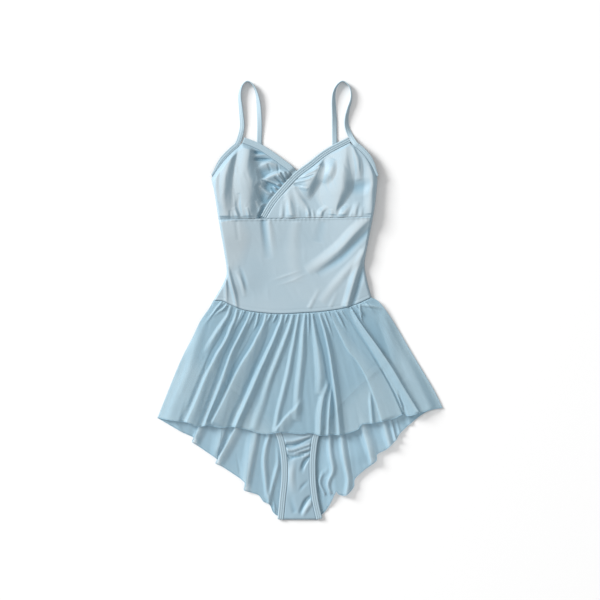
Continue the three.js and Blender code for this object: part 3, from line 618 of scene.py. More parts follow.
# %% Folds of the right cup
RIGHT_CUP_FOLDS = {
    "first full": [
        (319.4, 157, 8, 4, 1.4), (319, 164, 10, 6, 4.4), (316, 171, 12, 8, 5.6),
        (312, 177.5, 15, 10.5, 6.2), (308.6, 184, 15, 10, 5.6), (307, 190, 12, 8, 3.6),
        (306.4, 197, 10, 5, 0.6),
    ],
    "second full": [
        (333, 160, 9, 4, 0.8), (330.6, 167, 10, 6.4, 3.2), (328, 173.4, 10, 7, 3.6), (325, 178, 9, 7, 2.2),
        (322, 182, 7, 6, 0.3),
    ],
    "third full": [
        (345.6, 141, 10, 4, 1.2), (345, 152, 16, 7, 2.8), (343, 163, 20, 11, 4.8),
        (341.4, 175, 24, 13, 6.6), (340.4, 187, 26, 12.5, 6.8), (337.4, 198, 24, 9, 5.4),
        (335.4, 206, 18, 5, 3.6), (334.6, 213, 12, 3, 1.4),
    ],
    "fold from the tip": [
        (351.2, 141, 5, 1.8, 1.2), (353.6, 150, 7, 2.6, 2), (356, 158, 8, 5, 2.6),
        (357.6, 167, 8, 5.4, 2.6), (359, 178, 7, 4, 0.6),
    ],
    "hollow across": [
        (346, 186, 8, 8, -0.2), (351, 187, 9, 9, -1.2), (357, 186.5, 10, 9, -2), (364, 185, 9, 8, -1.6),
        (370, 182, 7, 6, -0.4),
    ],
    "edge of the side": [
        (368.5, 158, 7, 4, 0.8), (371, 176, 8, 5, 2.2), (370.4, 192, 8, 5, 2.4), (369, 212, 7, 5, 1.2),
    ],
    "dark at the corner": [(375, 169, 1.6, 1.6, -1.2), (377, 177, 1.6, 1.4, -1.4)],
    "ray 1": [(301, 171.3, 1.4, 1.3, 0.8), (309, 167.6, 1.6, 1.4, 1.1), (318, 163, 2.4, 1.6, 1)],
    "ray 2": [(302.5, 172.6, 1.3, 1.3, -1.2), (309, 170.4, 1.4, 1.4, -1.5), (316, 166.4, 1.4, 1.4, -0.9)],
    "ray 3": [(297, 174.8, 1.7, 1.4, 0.9), (305, 173, 2, 1.6, 1.2), (315, 169, 2, 1.6, 0.8)],
    "ray 4": [(297, 178, 1.4, 1.4, -1.4), (304, 177.6, 1.4, 1.6, -1.5), (312, 174.6, 1.4, 1.4, -0.8)],
    "ray 5": [(293.6, 180.6, 1.8, 1.6, 0.9), (300, 180.2, 2.2, 1.8, 1.1), (309, 178, 2, 2, 0.5)],
    "ray 6": [(294.4, 183.2, 1.2, 1.2, -1), (300, 184.6, 1.3, 1.3, -0.9)],
    "ray 7": [(295, 185.6, 2, 1.4, 0.6), (306, 187.6, 3, 2, 0.6)],
    "line down from the crossing": [
        (292.4, 184, 7, 4, 0.5), (297, 194, 8, 4.5, 1.8), (303, 203, 8, 4.5, 1.6), (308, 212, 5, 4, 0.3),
    ],
    "fold down from the crossing": [
        (287, 187, 5, 5, 0.3), (288.8, 200, 6.4, 6, 2), (291, 217.5, 7, 7, 2.8),
    ],
    "fold beside the crossing": [(282.5, 200, 3, 3, 0.3), (281, 217.5, 3.2, 3, 1)],
    "soft fold": [(286, 200, 3, 3, -0.2), (285, 217.5, 3, 3, -0.5)],
    "tuck 1": [(297, 206, 3, 3, 0.2), (298.4, 217.5, 3, 3, 0.7)],
    "tuck 2": [(306.4, 206.5, 3, 3, 0.3), (307.6, 211.5, 3, 3, 1.5), (308.2, 217.5, 3, 3, 2)],
    "tuck 3": [(312, 210, 2, 2, 0.4), (313.4, 217.5, 2, 2, 1.4)],
    "tuck 4": [(325, 206.5, 4, 3, 0.4), (321, 211, 5, 3, 1.7), (320, 217.5, 5, 3, 2)],
    "tuck 5": [(330.6, 210, 3, 3, 0.4), (330.4, 217.5, 3, 3, 1.3)],
    "tuck 6": [(348.6, 205, 5, 4, 0.4), (343.4, 211, 7, 6, 2.6), (340, 217.5, 7, 7, 2.8)],
    "tuck 7": [(351, 209, 2, 2.4, 0.2), (349.4, 217.5, 2, 2.4, 0.9)],
    "tuck 8": [(357, 202, 4, 2.6, 0.3), (355, 209, 5, 2.8, 1.2), (353.6, 217.5, 5, 2.8, 1)],
    "tuck 9": [(361.4, 207, 3, 2.4, 0.3), (360, 217.5, 3, 2.4, 1)],
}
RIGHT_CUP_SMALL = small_creases(5, 30, ((285, 165), (370, 214)), heading=80, wide=2.5, rise=0.22)

# %% The cups' heights
CUP_COLUMNS, CUP_ROWS = 190, 160
CLOTH_THICK = 0.6
CUP_FOLDS = {"left": LEFT_CUP_FOLDS, "right": RIGHT_CUP_FOLDS}
CUP_SMALL = {"left": LEFT_CUP_SMALL, "right": RIGHT_CUP_SMALL}
CUP_DEPTH = {"left": 1.1, "right": 1.22}
CUP_RISE = {"left": 0.0, "right": 0.5}
TAPE_HOLDS = {"left": (-1, 7), "right": (-1, 5)}
WRAP_PRESSES = (-6, -1)
beside_neck = {"left": right_of(left_neck), "right": right_of(right_neck)}
beside_armhole = {"left": right_of(left_armhole), "right": right_of(right_armhole)}
under_right_cup = right_of(backwards(beside(right_neck, GAP + TAPE_WIDE)))


def cup_heights(side, x, y):
    """Level plus folds, held flat near the tapes and the seam, and how far these two pull the cloth down."""
    folds = CUP_DEPTH[side] * relief(CUP_FOLDS[side], x, y) + relief(CUP_SMALL[side], x, y)
    near_tape = np.minimum(np.abs(beside_neck[side](x, y)), np.abs(beside_armhole[side](x, y)))
    above_seam = y - empire_seam(x)
    level = front_level(x, y) + CUP_RISE[side] + under_bust(above_seam, "cups")
    held = smooth(*TAPE_HOLDS[side], near_tape) * gathered_in(above_seam)
    pulled = seam_pinch(above_seam, "seam of the cups") + seam_pinch(near_tape, "tape of the cups")
    return level + folds * held, pulled


def left_cup_top(x, y):
    """The left cup is pressed flat where the right cup lies over it."""
    height, pulled = cup_heights("left", x, y)
    pressed = smooth(*WRAP_PRESSES, under_right_cup(x, y))
    return side_turn(x, y, lerp(np.maximum(FRONT_EDGE_TOP, height), UNDERWRAP_TOP, pressed) - pulled)


def right_cup_top(x, y):
    """The right cup is nowhere lower than the wrap under it."""
    height, pulled = cup_heights("right", x, y)
    least = lerp(FRONT_EDGE_TOP, OVERWRAP_TOP, smooth(0, BODICE_SLOPE, right_side(y) - x))
    return side_turn(x, y, np.maximum(least, height) - pulled)


# %% Make the cups
u, v = grid(CUP_COLUMNS, CUP_ROWS)
x, y = spread(
    backwards(left_armhole),
    seam_line(empire_seam, EMPIRE["left"], CROSSED["right"]),
    side_line(left_side, CUP_SIDE_TOP["left"], EMPIRE_Y["left"]),
    left_neck,
    u,
    v,
)
fold_shade = shade_between_folds(relief(LEFT_CUP_FOLDS, x, y), "left cup")
cup_left = cloth("cup_left_cloth", x, y, left_cup_top(x, y), CLOTH_THICK, plan_uv(x, y), fold_shade)
tell(cup_left)

x, y = spread(
    right_armhole,
    seam_line(empire_seam, CROSSED["left"], EMPIRE["right"]),
    right_neck,
    side_line(right_side, CUP_SIDE_TOP["right"], EMPIRE_Y["right"]),
    u,
    v,
)
fold_shade = shade_between_folds(relief(RIGHT_CUP_FOLDS, x, y), "right cup")
cup_right = cloth("cup_right_cloth", x, y, right_cup_top(x, y), CLOTH_THICK, plan_uv(x, y), fold_shade)
tell(cup_right)

# %% [markdown]
# ## The midriff and the back
# The midriff is a plain panel. It lies almost smooth, with one long pull from the right side seam, short
# folds where the hips start, and tiny puckers below the seam that holds the gathered cups. A row of
# stitches runs 6 mm above the waist seam. The back has the same width and lies flat under it.

# %% The midriff
MIDRIFF_FOLDS = {
    "long pull": [
        (369, 217, 8, 4, 1.4), (353, 233, 9, 5, 3), (340, 247, 9, 5, 2.8), (325, 259, 9, 6, 2.2),
        (308, 270, 8, 6, 0.6),
    ],
    "hollow under the pull": [
        (370, 227, 4, 5, -1.2), (353, 244, 4, 6, -1.8), (340, 257, 4, 6, -1.6), (318, 272, 4, 6, -0.5),
    ],
    "second pull": [
        (369, 244, 5, 5, 0.6), (350, 266, 6, 5, 1.4), (334, 284, 6, 6, 1), (322, 300, 6, 6, 0.5),
    ],
    "right hip": [
        (363, 250, 5, 3.5, 0.8), (356.4, 269, 6, 4, 3), (351.4, 286, 6, 4, 3.6), (346, 305, 6, 4, 3),
    ],
    "right hip hollow": [(366, 256, 3, 4, -0.8), (360, 275, 3, 4.5, -1.6), (352, 304, 3, 4, -1.5)],
    "full at the left": [
        (217, 222, 3, 30, 3.4), (219.6, 240, 3, 32, 4.6), (222, 258, 3, 26, 2.8), (224, 272, 3, 20, 0.4),
    ],
    "left hip 1": [
        (224, 262, 3, 2, 0.4), (225.2, 277, 3, 2.4, 1.8), (226, 293, 3, 2.4, 1.4), (226, 303, 3, 2.4, 0.8),
    ],
    "left hip 2": [
        (227, 266, 3, 3, 1), (230.6, 281, 3, 3.4, 2.8), (234, 294, 3, 3.6, 2.6), (236, 305, 3, 3.4, 1.6),
    ],
    "left hip 3": [(236.4, 271, 3, 3, 0.5), (241.4, 282, 3, 3, 1.2), (244, 294, 3, 3, 0.4)],
    "left hip hollow": [(239.5, 266, 2, 3, -0.3), (243.6, 277, 3, 3, -0.9), (247, 290, 3, 3, -0.2)],
    "line under the seam 1": [(262.6, 220, 4, 5, -1.6), (264.6, 236, 4.4, 5, -1.2), (267, 256, 5, 6, -0.3)],
    "line under the seam 2": [(268.6, 221, 3, 4, 1), (271.6, 240, 4, 5, 0.6), (274, 256, 4, 5, 0.1)],
    "line under the seam 3": [(236, 221, 3, 3, -0.5), (238, 238, 3, 3, -0.3)],
    "soft fall 1": [(296, 222, 8, 6, 0.7), (293, 246, 9, 8, 0.5), (296, 280, 9, 9, 0.3)],
    "soft fall 2": [(322, 222, 6, 6, -0.5), (318, 240, 8, 8, -0.4)],
    "fine 1": [(272, 279, 1.6, 1.6, 0.1), (286, 274.4, 1.8, 1.8, 0.45), (300, 269.6, 1.6, 1.6, 0.1)],
    "fine 2": [(278, 284, 1.6, 1.6, 0.1), (293, 279, 1.8, 1.8, 0.35), (307, 272, 1.6, 1.6, 0.1)],
    "at the waist": [(318, 289, 3, 3, 0.2), (309, 306, 3, 3, 0.9)],
    "at the waist 2": [(336, 292, 3, 3, 0.2), (330, 305, 3, 3, 0.6)],
}
MIDRIFF_SMALL = small_creases(7, 46, ((226, 226), (364, 300)), heading=70, wide=3.0, rise=0.16)
PUCKER_PITCH = 7.5
PUCKER_REACH = 11
PUCKER_DEPTH = 0.34
PUCKER_DRIFTS = ((1.7, 23), (0.9, 9.1))
PUCKER_MEAN = 0.55
PUCKER_SWING = 0.45
PUCKER_SWELLS = (17.3, 41)
PUCKER_PHASE = 1.1
ALLOWANCE_HIGH = 0.8
ALLOWANCE_START = (0, 1.0)
ALLOWANCE_END = (1.8, 4.4)
TOPSTITCH_UP = 6.0
GROOVE_DEPTH = 0.35
GROOVE_HALF = 0.8
MIDRIFF_GRID = (170, 120)
BACK_GRID = (60, 40)


def pucker(x, distance):
    """Tiny gathers beside a seam: waves of uneven height along it that die away with distance.

    The wave is a sine of x whose phase drifts by two slower sines, and its height follows two more.
    """
    slow, quick = (size * np.sin(x / span) for size, span in PUCKER_DRIFTS)
    wave = np.sin(2 * np.pi * x / PUCKER_PITCH + slow + quick)
    first, second = PUCKER_SWELLS
    uneven = PUCKER_MEAN + PUCKER_SWING * np.sin(x / first + PUCKER_PHASE) * np.sin(x / second)
    return PUCKER_DEPTH * uneven * wave * (1 - smooth(0, PUCKER_REACH, distance))


def midriff_top(x, y):
    """Level plus folds, a raised seam allowance at the top, puckers, and a groove at the top-stitching."""
    folds = relief(MIDRIFF_FOLDS, x, y) + relief(MIDRIFF_SMALL, x, y)
    below_empire = empire_seam(x) - y
    above_waist = y - waist_seam(x)
    allowance = smooth(*ALLOWANCE_START, below_empire) * (1 - smooth(*ALLOWANCE_END, below_empire))
    groove = GROOVE_DEPTH * np.exp(-(((above_waist - TOPSTITCH_UP) / GROOVE_HALF) ** 2))
    level = front_level(x, y) + under_bust(below_empire, "midriff")
    top = np.maximum(FRONT_EDGE_TOP, level + folds) + ALLOWANCE_HIGH * allowance
    top += pucker(x, below_empire) - groove
    top -= seam_pinch(below_empire, "top of the midriff") + seam_pinch(above_waist, "foot of the midriff")
    return side_turn(x, y, top)


u, v = grid(*MIDRIFF_GRID)
x, y = spread(
    seam_line(empire_seam, EMPIRE["left"], EMPIRE["right"]),
    seam_line(waist_seam, WAIST["left"], WAIST["right"]),
    side_line(left_side, EMPIRE_Y["left"], WAIST_Y["left"]),
    side_line(right_side, EMPIRE_Y["right"], WAIST_Y["right"]),
    u,
    v,
)
fold_shade = shade_between_folds(relief(MIDRIFF_FOLDS, x, y), "midriff")
midriff = cloth("midriff_cloth", x, y, midriff_top(x, y), CLOTH_THICK, plan_uv(x, y), fold_shade)
tell(midriff)

# %% The back of the bodice
u, v = grid(*BACK_GRID)
x, y = spread(
    back_neck,
    seam_line(waist_seam, WAIST["left"], WAIST["right"]),
    side_line(left_side, BACK_SIDE_TOP["left"], WAIST_Y["left"]),
    side_line(right_side, BACK_SIDE_TOP["right"], WAIST_Y["right"]),
    u,
    v,
)
back_bodice = cloth("back_bodice_cloth", x, y, np.full_like(x, BACK_TOP), BACK_TOP, plan_uv(x, y))
tell(back_bodice)

# %% [markdown]
# ## The brief
# Under the skirt is a brief. Its two panels end in the leg openings and meet in the fold of the gusset,
# which shows below the front hem. The gusset is soft and has a few creases across it.

# %% Outline and panels of the brief
HIP_SHARE = 0.3
GUSSET_FOLD_Y = -362
left_leg = line(
    [(-160, -92), (-118, -128), (-70, -170), (-34, -212), (-22.5, -250), (-20.5, -292), (-24, -330)]
    + [(-27, GUSSET_FOLD_Y)]
)
right_leg = line(
    [(139, -92), (104, -124), (60, -166), (26, -212), (17, -250), (16, -292), (20, -330)]
    + [(27, GUSSET_FOLD_Y)]
)


def hip_then_leg(corner_x, leg):
    """The side seam down to the hip, then the leg opening."""
    corner = np.array([corner_x, waist_seam(corner_x)])
    hip = leg(np.array([0.0]))[0]

    def walk(share):
        share = np.clip(share, 0, 1)
        seam = lerp(corner, hip, np.clip(share / HIP_SHARE, 0, 1)[..., None])
        opening = leg((share - HIP_SHARE) / (1 - HIP_SHARE))
        return np.where((share < HIP_SHARE)[..., None], seam, opening)

    return walk


GUSSET_FOLDS = {
    "band 1": [
        (284, 440, 2, 2, 1.4), (292, 439.6, 2, 2, 1.6), (300, 437.4, 2, 2, 1.2), (309, 434.6, 2, 2, 1),
    ],
    "hollow 1": [
        (283, 444, 1.8, 1.6, -2), (291, 444.4, 1.8, 1.6, -2.2), (299, 442, 1.8, 1.6, -1.8),
        (309, 437, 1.6, 1.4, -0.8),
    ],
    "band 2": [
        (284, 448.4, 2.4, 2, 2), (292, 448.4, 2.4, 2, 2), (299, 446.4, 2, 2, 1.4), (309, 443, 2, 2, 1.2),
    ],
    "band 3": [(295, 451.4, 1.6, 1.6, 0.8), (303, 449, 1.6, 1.6, 1.2), (311, 446.6, 1.6, 1.6, 1)],
    "hollow 3": [(300, 452, 1.2, 1.2, -0.8), (311, 449.6, 1.3, 1.3, -1.4)],
    "hollow 4": [
        (284, 451.8, 1.6, 1.6, -1.6), (289.5, 455.6, 1.8, 1.6, -2), (296, 455.4, 1.6, 1.6, -1.4),
        (303, 453.6, 1.5, 1.5, -1.2),
    ],
    "band 5": [(303, 455.4, 1.6, 1.6, 0.8), (311, 452.6, 1.6, 1.6, 1.2)],
    "dark fold": [(310, 455, 2.4, 2, -1), (304.4, 461, 3, 2.6, -2.2), (300.8, 470, 3.4, 3.4, -0.4)],
    "short hollow": [(284, 460.4, 1.8, 1.8, -0.7), (292, 457.4, 1.8, 1.8, -0.5)],
    "slow slope": [(293, 460, 4, 4, 0.3), (291, 474, 6, 5, 1.2), (292, 490, 5, 5, 0.3)],
    "small mark": [(307, 480, 2, 2, -0.3), (302, 485, 2.4, 2.4, -0.7), (299, 489, 2, 2, -0.2)],
    "lower hollow": [(312, 493.5, 2.4, 2.4, -0.6), (305.4, 500, 3, 2.6, -2), (300, 511, 3, 3, -0.9)],
    "lower light": [(313, 499, 2.6, 2.6, 0.4), (307, 506, 3, 3, 1.2), (302.6, 514, 2.6, 2.6, 0.3)],
    "lower slope": [(290, 496, 4, 4, -0.2), (294, 510, 4, 4, -0.7)],
}
GUSSET_DEPTH = 1.6
GUSSET_CROWN = 0.8
CROWN_START = (-200, -240)
CROWN_WITHIN = 18
CREASED_WITHIN = 3
FOLD_ROLL = 2.2
beside_left_leg = right_of(left_leg)
beside_right_leg = right_of(right_leg)


def brief_front_top(x, y):
    """Flat under the skirt, creased at the gusset, sunk beside the leg tapes and rolled at the fold."""
    near_tape = np.minimum(np.abs(beside_left_leg(x, y)), np.abs(beside_right_leg(x, y)))
    creases = GUSSET_DEPTH * relief(GUSSET_FOLDS, x, y) * smooth(0, CREASED_WITHIN, near_tape)
    crown = GUSSET_CROWN * smooth(*CROWN_START, y) * smooth(0, CROWN_WITHIN, near_tape)
    rolled = FOLD_ROLL * turned(y - GUSSET_FOLD_Y, FOLD_ROLL)
    return BRIEF_FRONT_TOP + creases + crown - seam_pinch(near_tape, "tape of the leg") - rolled


def brief_back_top(x, y):
    """Flat."""
    return np.full_like(x, BRIEF_BACK_TOP)


def brief_panel(name, columns, rows, top):
    """One panel of the brief, from the waist to the fold of the gusset."""
    u, v = grid(columns, rows)
    x, y = spread(
        seam_line(waist_seam, WAIST["left"], WAIST["right"]),
        line([left_leg(np.array([1.0]))[0], right_leg(np.array([1.0]))[0]]),
        hip_then_leg(WAIST["left"], left_leg),
        hip_then_leg(WAIST["right"], right_leg),
        u,
        v,
    )
    fold_shade = shade_between_folds(relief(GUSSET_FOLDS, x, y), "gusset")
    return cloth(name, x, y, top(x, y), CLOTH_THICK, plan_uv(x, y), fold_shade)


brief_front = brief_panel("brief_front_cloth", columns=50, rows=220, top=brief_front_top)
brief_back = brief_panel("brief_back_cloth", columns=40, rows=60, top=brief_back_top)
tell(brief_front)
tell(brief_back)

# %% [markdown]
# ## The skirt
# Two panels of fine net are gathered into the waist seam. Each has about fourteen large folds that widen
# towards the hem, smaller ones between them, and some thirty small gathers that fade out a few centimetres
# below the seam. The net is so light that it also has fine ripples everywhere: they run the way the cloth
# falls, so they are waves in the share across the panel, not in x.

# %% Outline of the skirt
skirt_left = line([(-143, -1.2), (-150, -14), (-164, -34), (-177, -61), (-199, -105), (-235, -194)])
skirt_right = line([(118, 3.8), (131, -4), (153, -34), (186, -90), (220, -147), (235, -177.5)])
front_hem = line(
    [(-235, -194), (-210, -198.5), (-187, -201), (-168, -208), (-150, -206), (-133, -209.5), (-108, -208.5)]
    + [(-86, -213.5), (-59, -220.5), (-30, -217.5), (0, -220.5), (17, -218.5), (35, -223), (52, -221)]
    + [(65, -222), (85, -217), (95, -213), (102, -204.5), (119, -202.5), (139, -199), (155, -195)]
    + [(171, -187.5), (178, -191), (198, -186), (217, -180), (235, -177.5)]
)
back_hem = line(
    [(-235, -194), (-199, -215), (-175, -227), (-176, -234), (-157, -248), (-137, -262), (-137, -269)]
    + [(-124, -277), (-90, -301), (-91, -313), (-69, -321), (-60, -332), (-50, -337), (-43, -351)]
    + [(-30, -357), (0, -358), (32, -355), (47, -340), (59, -316), (64, -320), (76, -321), (88, -308)]
    + [(90, -295), (104, -281), (125, -265), (127, -254), (143, -245), (158, -230), (166, -218)]
    + [(191, -196), (212, -182.5), (235, -177.5)]
)
print("front hem", round(front_hem.length), "mm, back hem", round(back_hem.length), "mm")

# %% Large folds of the front skirt
# Each fold is (how far its crest leans over to the left, in mm, its marks).
FRONT_SKIRT_FOLDS = {
    "left hip": (0.5, [
        (230.5, 304, 2, 3, 1.2), (228, 314, 3, 4, 2.6), (222, 324, 4, 4, 3.2), (216, 333, 4, 5, 3.2),
        (211, 341, 4, 5, 2.4), (205, 352, 4, 5, 0.4),
    ]),
    "left tuck 1": (0, [(224.5, 301.5, 2, 1.8, 1.2), (219.5, 304, 2, 2, 1.6), (214, 308.5, 2, 2, 0.4)]),
    "left tuck 2": (0, [(227.5, 304, 1.8, 1.8, 1.4), (221.5, 308.6, 2, 2, 1.8), (214, 314, 2, 2, 0.3)]),
    "fold 1": (0.4, [
        (236.5, 309, 1.6, 3, 1.6), (234.5, 318, 2.6, 4, 3.4), (231, 326, 3.4, 5, 4.6), (228, 334, 3, 5, 5),
        (223, 343.5, 2.6, 6, 5), (218, 351, 2.4, 7, 5), (214, 359, 2.2, 8, 5), (206, 375, 2, 10, 5),
        (196.5, 398, 2, 12, 5), (186.3, 421, 2, 14, 5),
    ]),
    "fold 1 companion": (0, [
        (241.5, 311, 1.5, 1.5, 1.6), (238.5, 318, 1.6, 1.6, 1.6), (233.5, 331, 1.5, 1.5, 0.2),
    ]),
    "fold 2": (0.6, [
        (249.8, 312, 1.5, 4, 1.8), (247.5, 318.5, 1.8, 4.5, 3.4), (244, 326, 2, 5, 4.6),
        (240, 334, 2, 5, 5.2), (232, 350, 2, 6, 5.6), (225.5, 368, 2, 7, 5.6), (218.5, 388, 2, 8, 5.6),
        (204.3, 424, 2, 8, 5.6),
    ]),
    "fold 3": (0.6, [
        (265.5, 313, 1.5, 4, 1.8), (264, 321, 2, 5, 3.6), (261, 328, 2, 7, 4.8), (257, 336, 2, 9, 5.6),
        (252, 346, 2, 11, 6), (242.5, 361, 2, 14, 6.2), (233, 379, 2, 16, 6.2), (223, 400, 2, 18, 6.2),
        (213, 420, 2, 18, 6.2),
    ]),
    "fold 3 companion": (0, [
        (258, 313, 1.5, 1.5, 1.6), (256.5, 320, 1.6, 1.6, 1.6), (253, 331, 1.6, 1.6, 0.2),
    ]),
    "fold 4": (0.6, [
        (282, 313, 2, 3, 1.8), (280.5, 320, 2.4, 3.4, 3.4), (277.5, 328, 3, 4, 4.6),
        (274, 337, 3, 4.4, 5.2), (266.5, 354, 3.6, 5, 6), (257.5, 374, 4, 6, 6.6), (249, 394, 4, 6.4, 6.8),
        (240, 414, 4, 6, 6.6), (235, 425.5, 3.6, 6, 6.4),
    ]),
    "fold 5": (0.8, [
        (292.3, 314, 2, 2.6, 1.6), (290, 324, 3, 3, 3), (286.5, 335, 4, 3.6, 3.8), (278.5, 356, 5, 4, 3.8),
        (270.5, 376, 5, 4, 3.4), (263, 400, 6, 5, 2.4), (253.5, 427, 6, 6, 2.2),
    ]),
    "fold 6": (0.8, [
        (298.3, 314, 1.8, 1.8, 1.6), (296, 328, 2.6, 2.4, 2.6), (293, 345, 3.4, 3, 3),
        (287, 376, 4, 4, 3.4), (279, 408, 4, 4, 3.2), (275, 430, 4, 4, 2.6),
    ]),
    "turned corner": (1.4, [
        (302, 397, 2, 4, 0.2), (296, 406, 2, 7, 2.6), (289, 413, 2, 9, 4.4), (282, 421, 2, 11, 4.8),
        (277, 428.5, 2, 12, 4.8),
    ]),
    "middle fold": (0.5, [
        (304.5, 314, 1.8, 2, 1.8), (303.5, 325, 3, 3, 3), (302.5, 340, 4, 4, 3.8),
        (301.5, 355, 4.4, 5, 3.8), (298, 388, 5, 5, 3.4), (296, 418, 5, 6, 2),
    ]),
    "fold 7": (0.5, [
        (312, 314, 1.8, 2, 1.8), (314, 327, 3, 3, 3), (316.5, 342, 4.4, 4.4, 3.8),
        (318.5, 356, 5.4, 6, 3.8), (320, 374, 6, 6, 3.2), (319, 392, 6, 4, 1.6),
    ]),
    "fold 7 foot": (0, [
        (329, 380, 3, 2, 0.4), (323.5, 394, 5, 2.6, 3.4), (320.8, 410, 6, 2.8, 4.4),
        (319.6, 433, 6, 3, 4.4),
    ]),
    "narrow light": (0, [
        (331, 384, 1.6, 2, 0.8), (329.8, 398, 1.8, 2.6, 3), (328.4, 412, 1.8, 3, 3.6),
        (327.4, 433, 1.8, 3, 3.4),
    ]),
    "fold 8": (0.6, [
        (319.3, 314, 1.6, 2.4, 1.8), (322, 322, 1.8, 3, 3.6), (325, 332, 2, 3.4, 5),
        (329.3, 352, 2, 4, 6.2), (332.6, 374, 2, 4, 6.6), (335.5, 396, 2, 5, 6.6), (338.8, 432, 2, 6, 6.2),
    ]),
    "fold 8 companion": (0, [
        (324, 313, 1.5, 1.6, 1.6), (328, 324, 1.6, 1.8, 1.8), (332, 336, 1.6, 1.8, 0.3),
    ]),
    "fold 9": (1.4, [
        (331, 313, 1.3, 4, 1.2), (334, 321, 1.4, 6, 2.2), (338.5, 330, 1.6, 8, 2.6),
        (348, 348.5, 1.6, 12, 3), (358, 361, 1.6, 14, 3.2), (366, 375, 1.6, 15, 3.4),
        (374, 395, 1.6, 17, 3.8), (381.5, 419, 1.6, 18, 4.2),
    ]),
    "near the hem": (0, [(369.5, 390, 2, 2, 0.3), (370, 402, 2.4, 3, 3), (371.6, 421, 2.4, 3, 3.4)]),
    "tuck 1": (0, [(337, 312, 1.5, 2, 1.6), (341, 320, 1.6, 2, 1.6), (346, 330, 1.6, 2, 0.2)]),
    "tuck 2": (0, [(341.3, 311, 1.4, 1.6, 1.6), (347, 320, 1.5, 1.6, 0.4)]),
    "line before the band": (0, [
        (345, 309.5, 1.4, 1.2, -1.6), (356, 328.5, 1.4, 1.2, -2.4), (369.5, 349, 1.5, 1.2, -2.8),
        (382.5, 370.5, 1.5, 1.2, -3), (394.5, 393, 1.6, 1.2, -3.2), (404, 415, 1.8, 1.2, -3.2),
    ]),
    "raised band": (-1.6, [
        (352, 310, 3, 1.6, 1.8), (357, 319, 4, 1.8, 3.8), (364, 329, 5, 2, 5), (378, 348.5, 7, 2, 5.8),
        (390.5, 367, 7.4, 2, 6), (402.5, 387, 8, 2, 6), (417, 410.5, 9, 2, 5.8),
    ]),
    "wedge at the hem": (0, [(398, 391, 1.4, 1.4, -0.8), (402, 403, 2, 2, -3.4), (405, 415, 3, 3, -4.6)]),
    "sunk panel": (0, [
        (362, 315, 2, 9, -1), (371, 330, 2, 12, -2.2), (380, 344, 2, 13, -2.4), (390, 358, 2, 12, -2),
        (402, 378, 2, 9, -1),
    ]),
    "short crest": (0, [(359, 303, 1.3, 1.5, 1.8), (360, 312, 1.4, 1.6, 2.6), (361.4, 322, 1.4, 1.6, 0.5)]),
    "right hip": (0, [(361, 304, 2, 1.8, 1), (370, 304.6, 2.4, 2, 2.4), (380, 306.8, 2.4, 2, 1.4)]),
    "brief's edge": (0, [
        (382, 314, 8, 6, 0.6), (388, 336, 9, 7, 1.4), (393, 358, 9, 7, 1.4), (399, 380, 8, 7, 0.6),
    ]),
    "outer left 1": (0, [
        (206, 316, 6, 6, 0.2), (198, 340, 6, 6, 0.9), (190, 366, 6, 7, 0.9), (182, 392, 6, 7, 0.3),
    ]),
    "outer left 2": (0, [(187, 396, 3, 3, -0.2), (181, 419, 3, 4, -1.2)]),
    "outer right": (0, [(404, 350, 7, 6, 0.2), (418, 382, 8, 7, 0.9), (430, 406, 7, 6, 0.9)]),
}

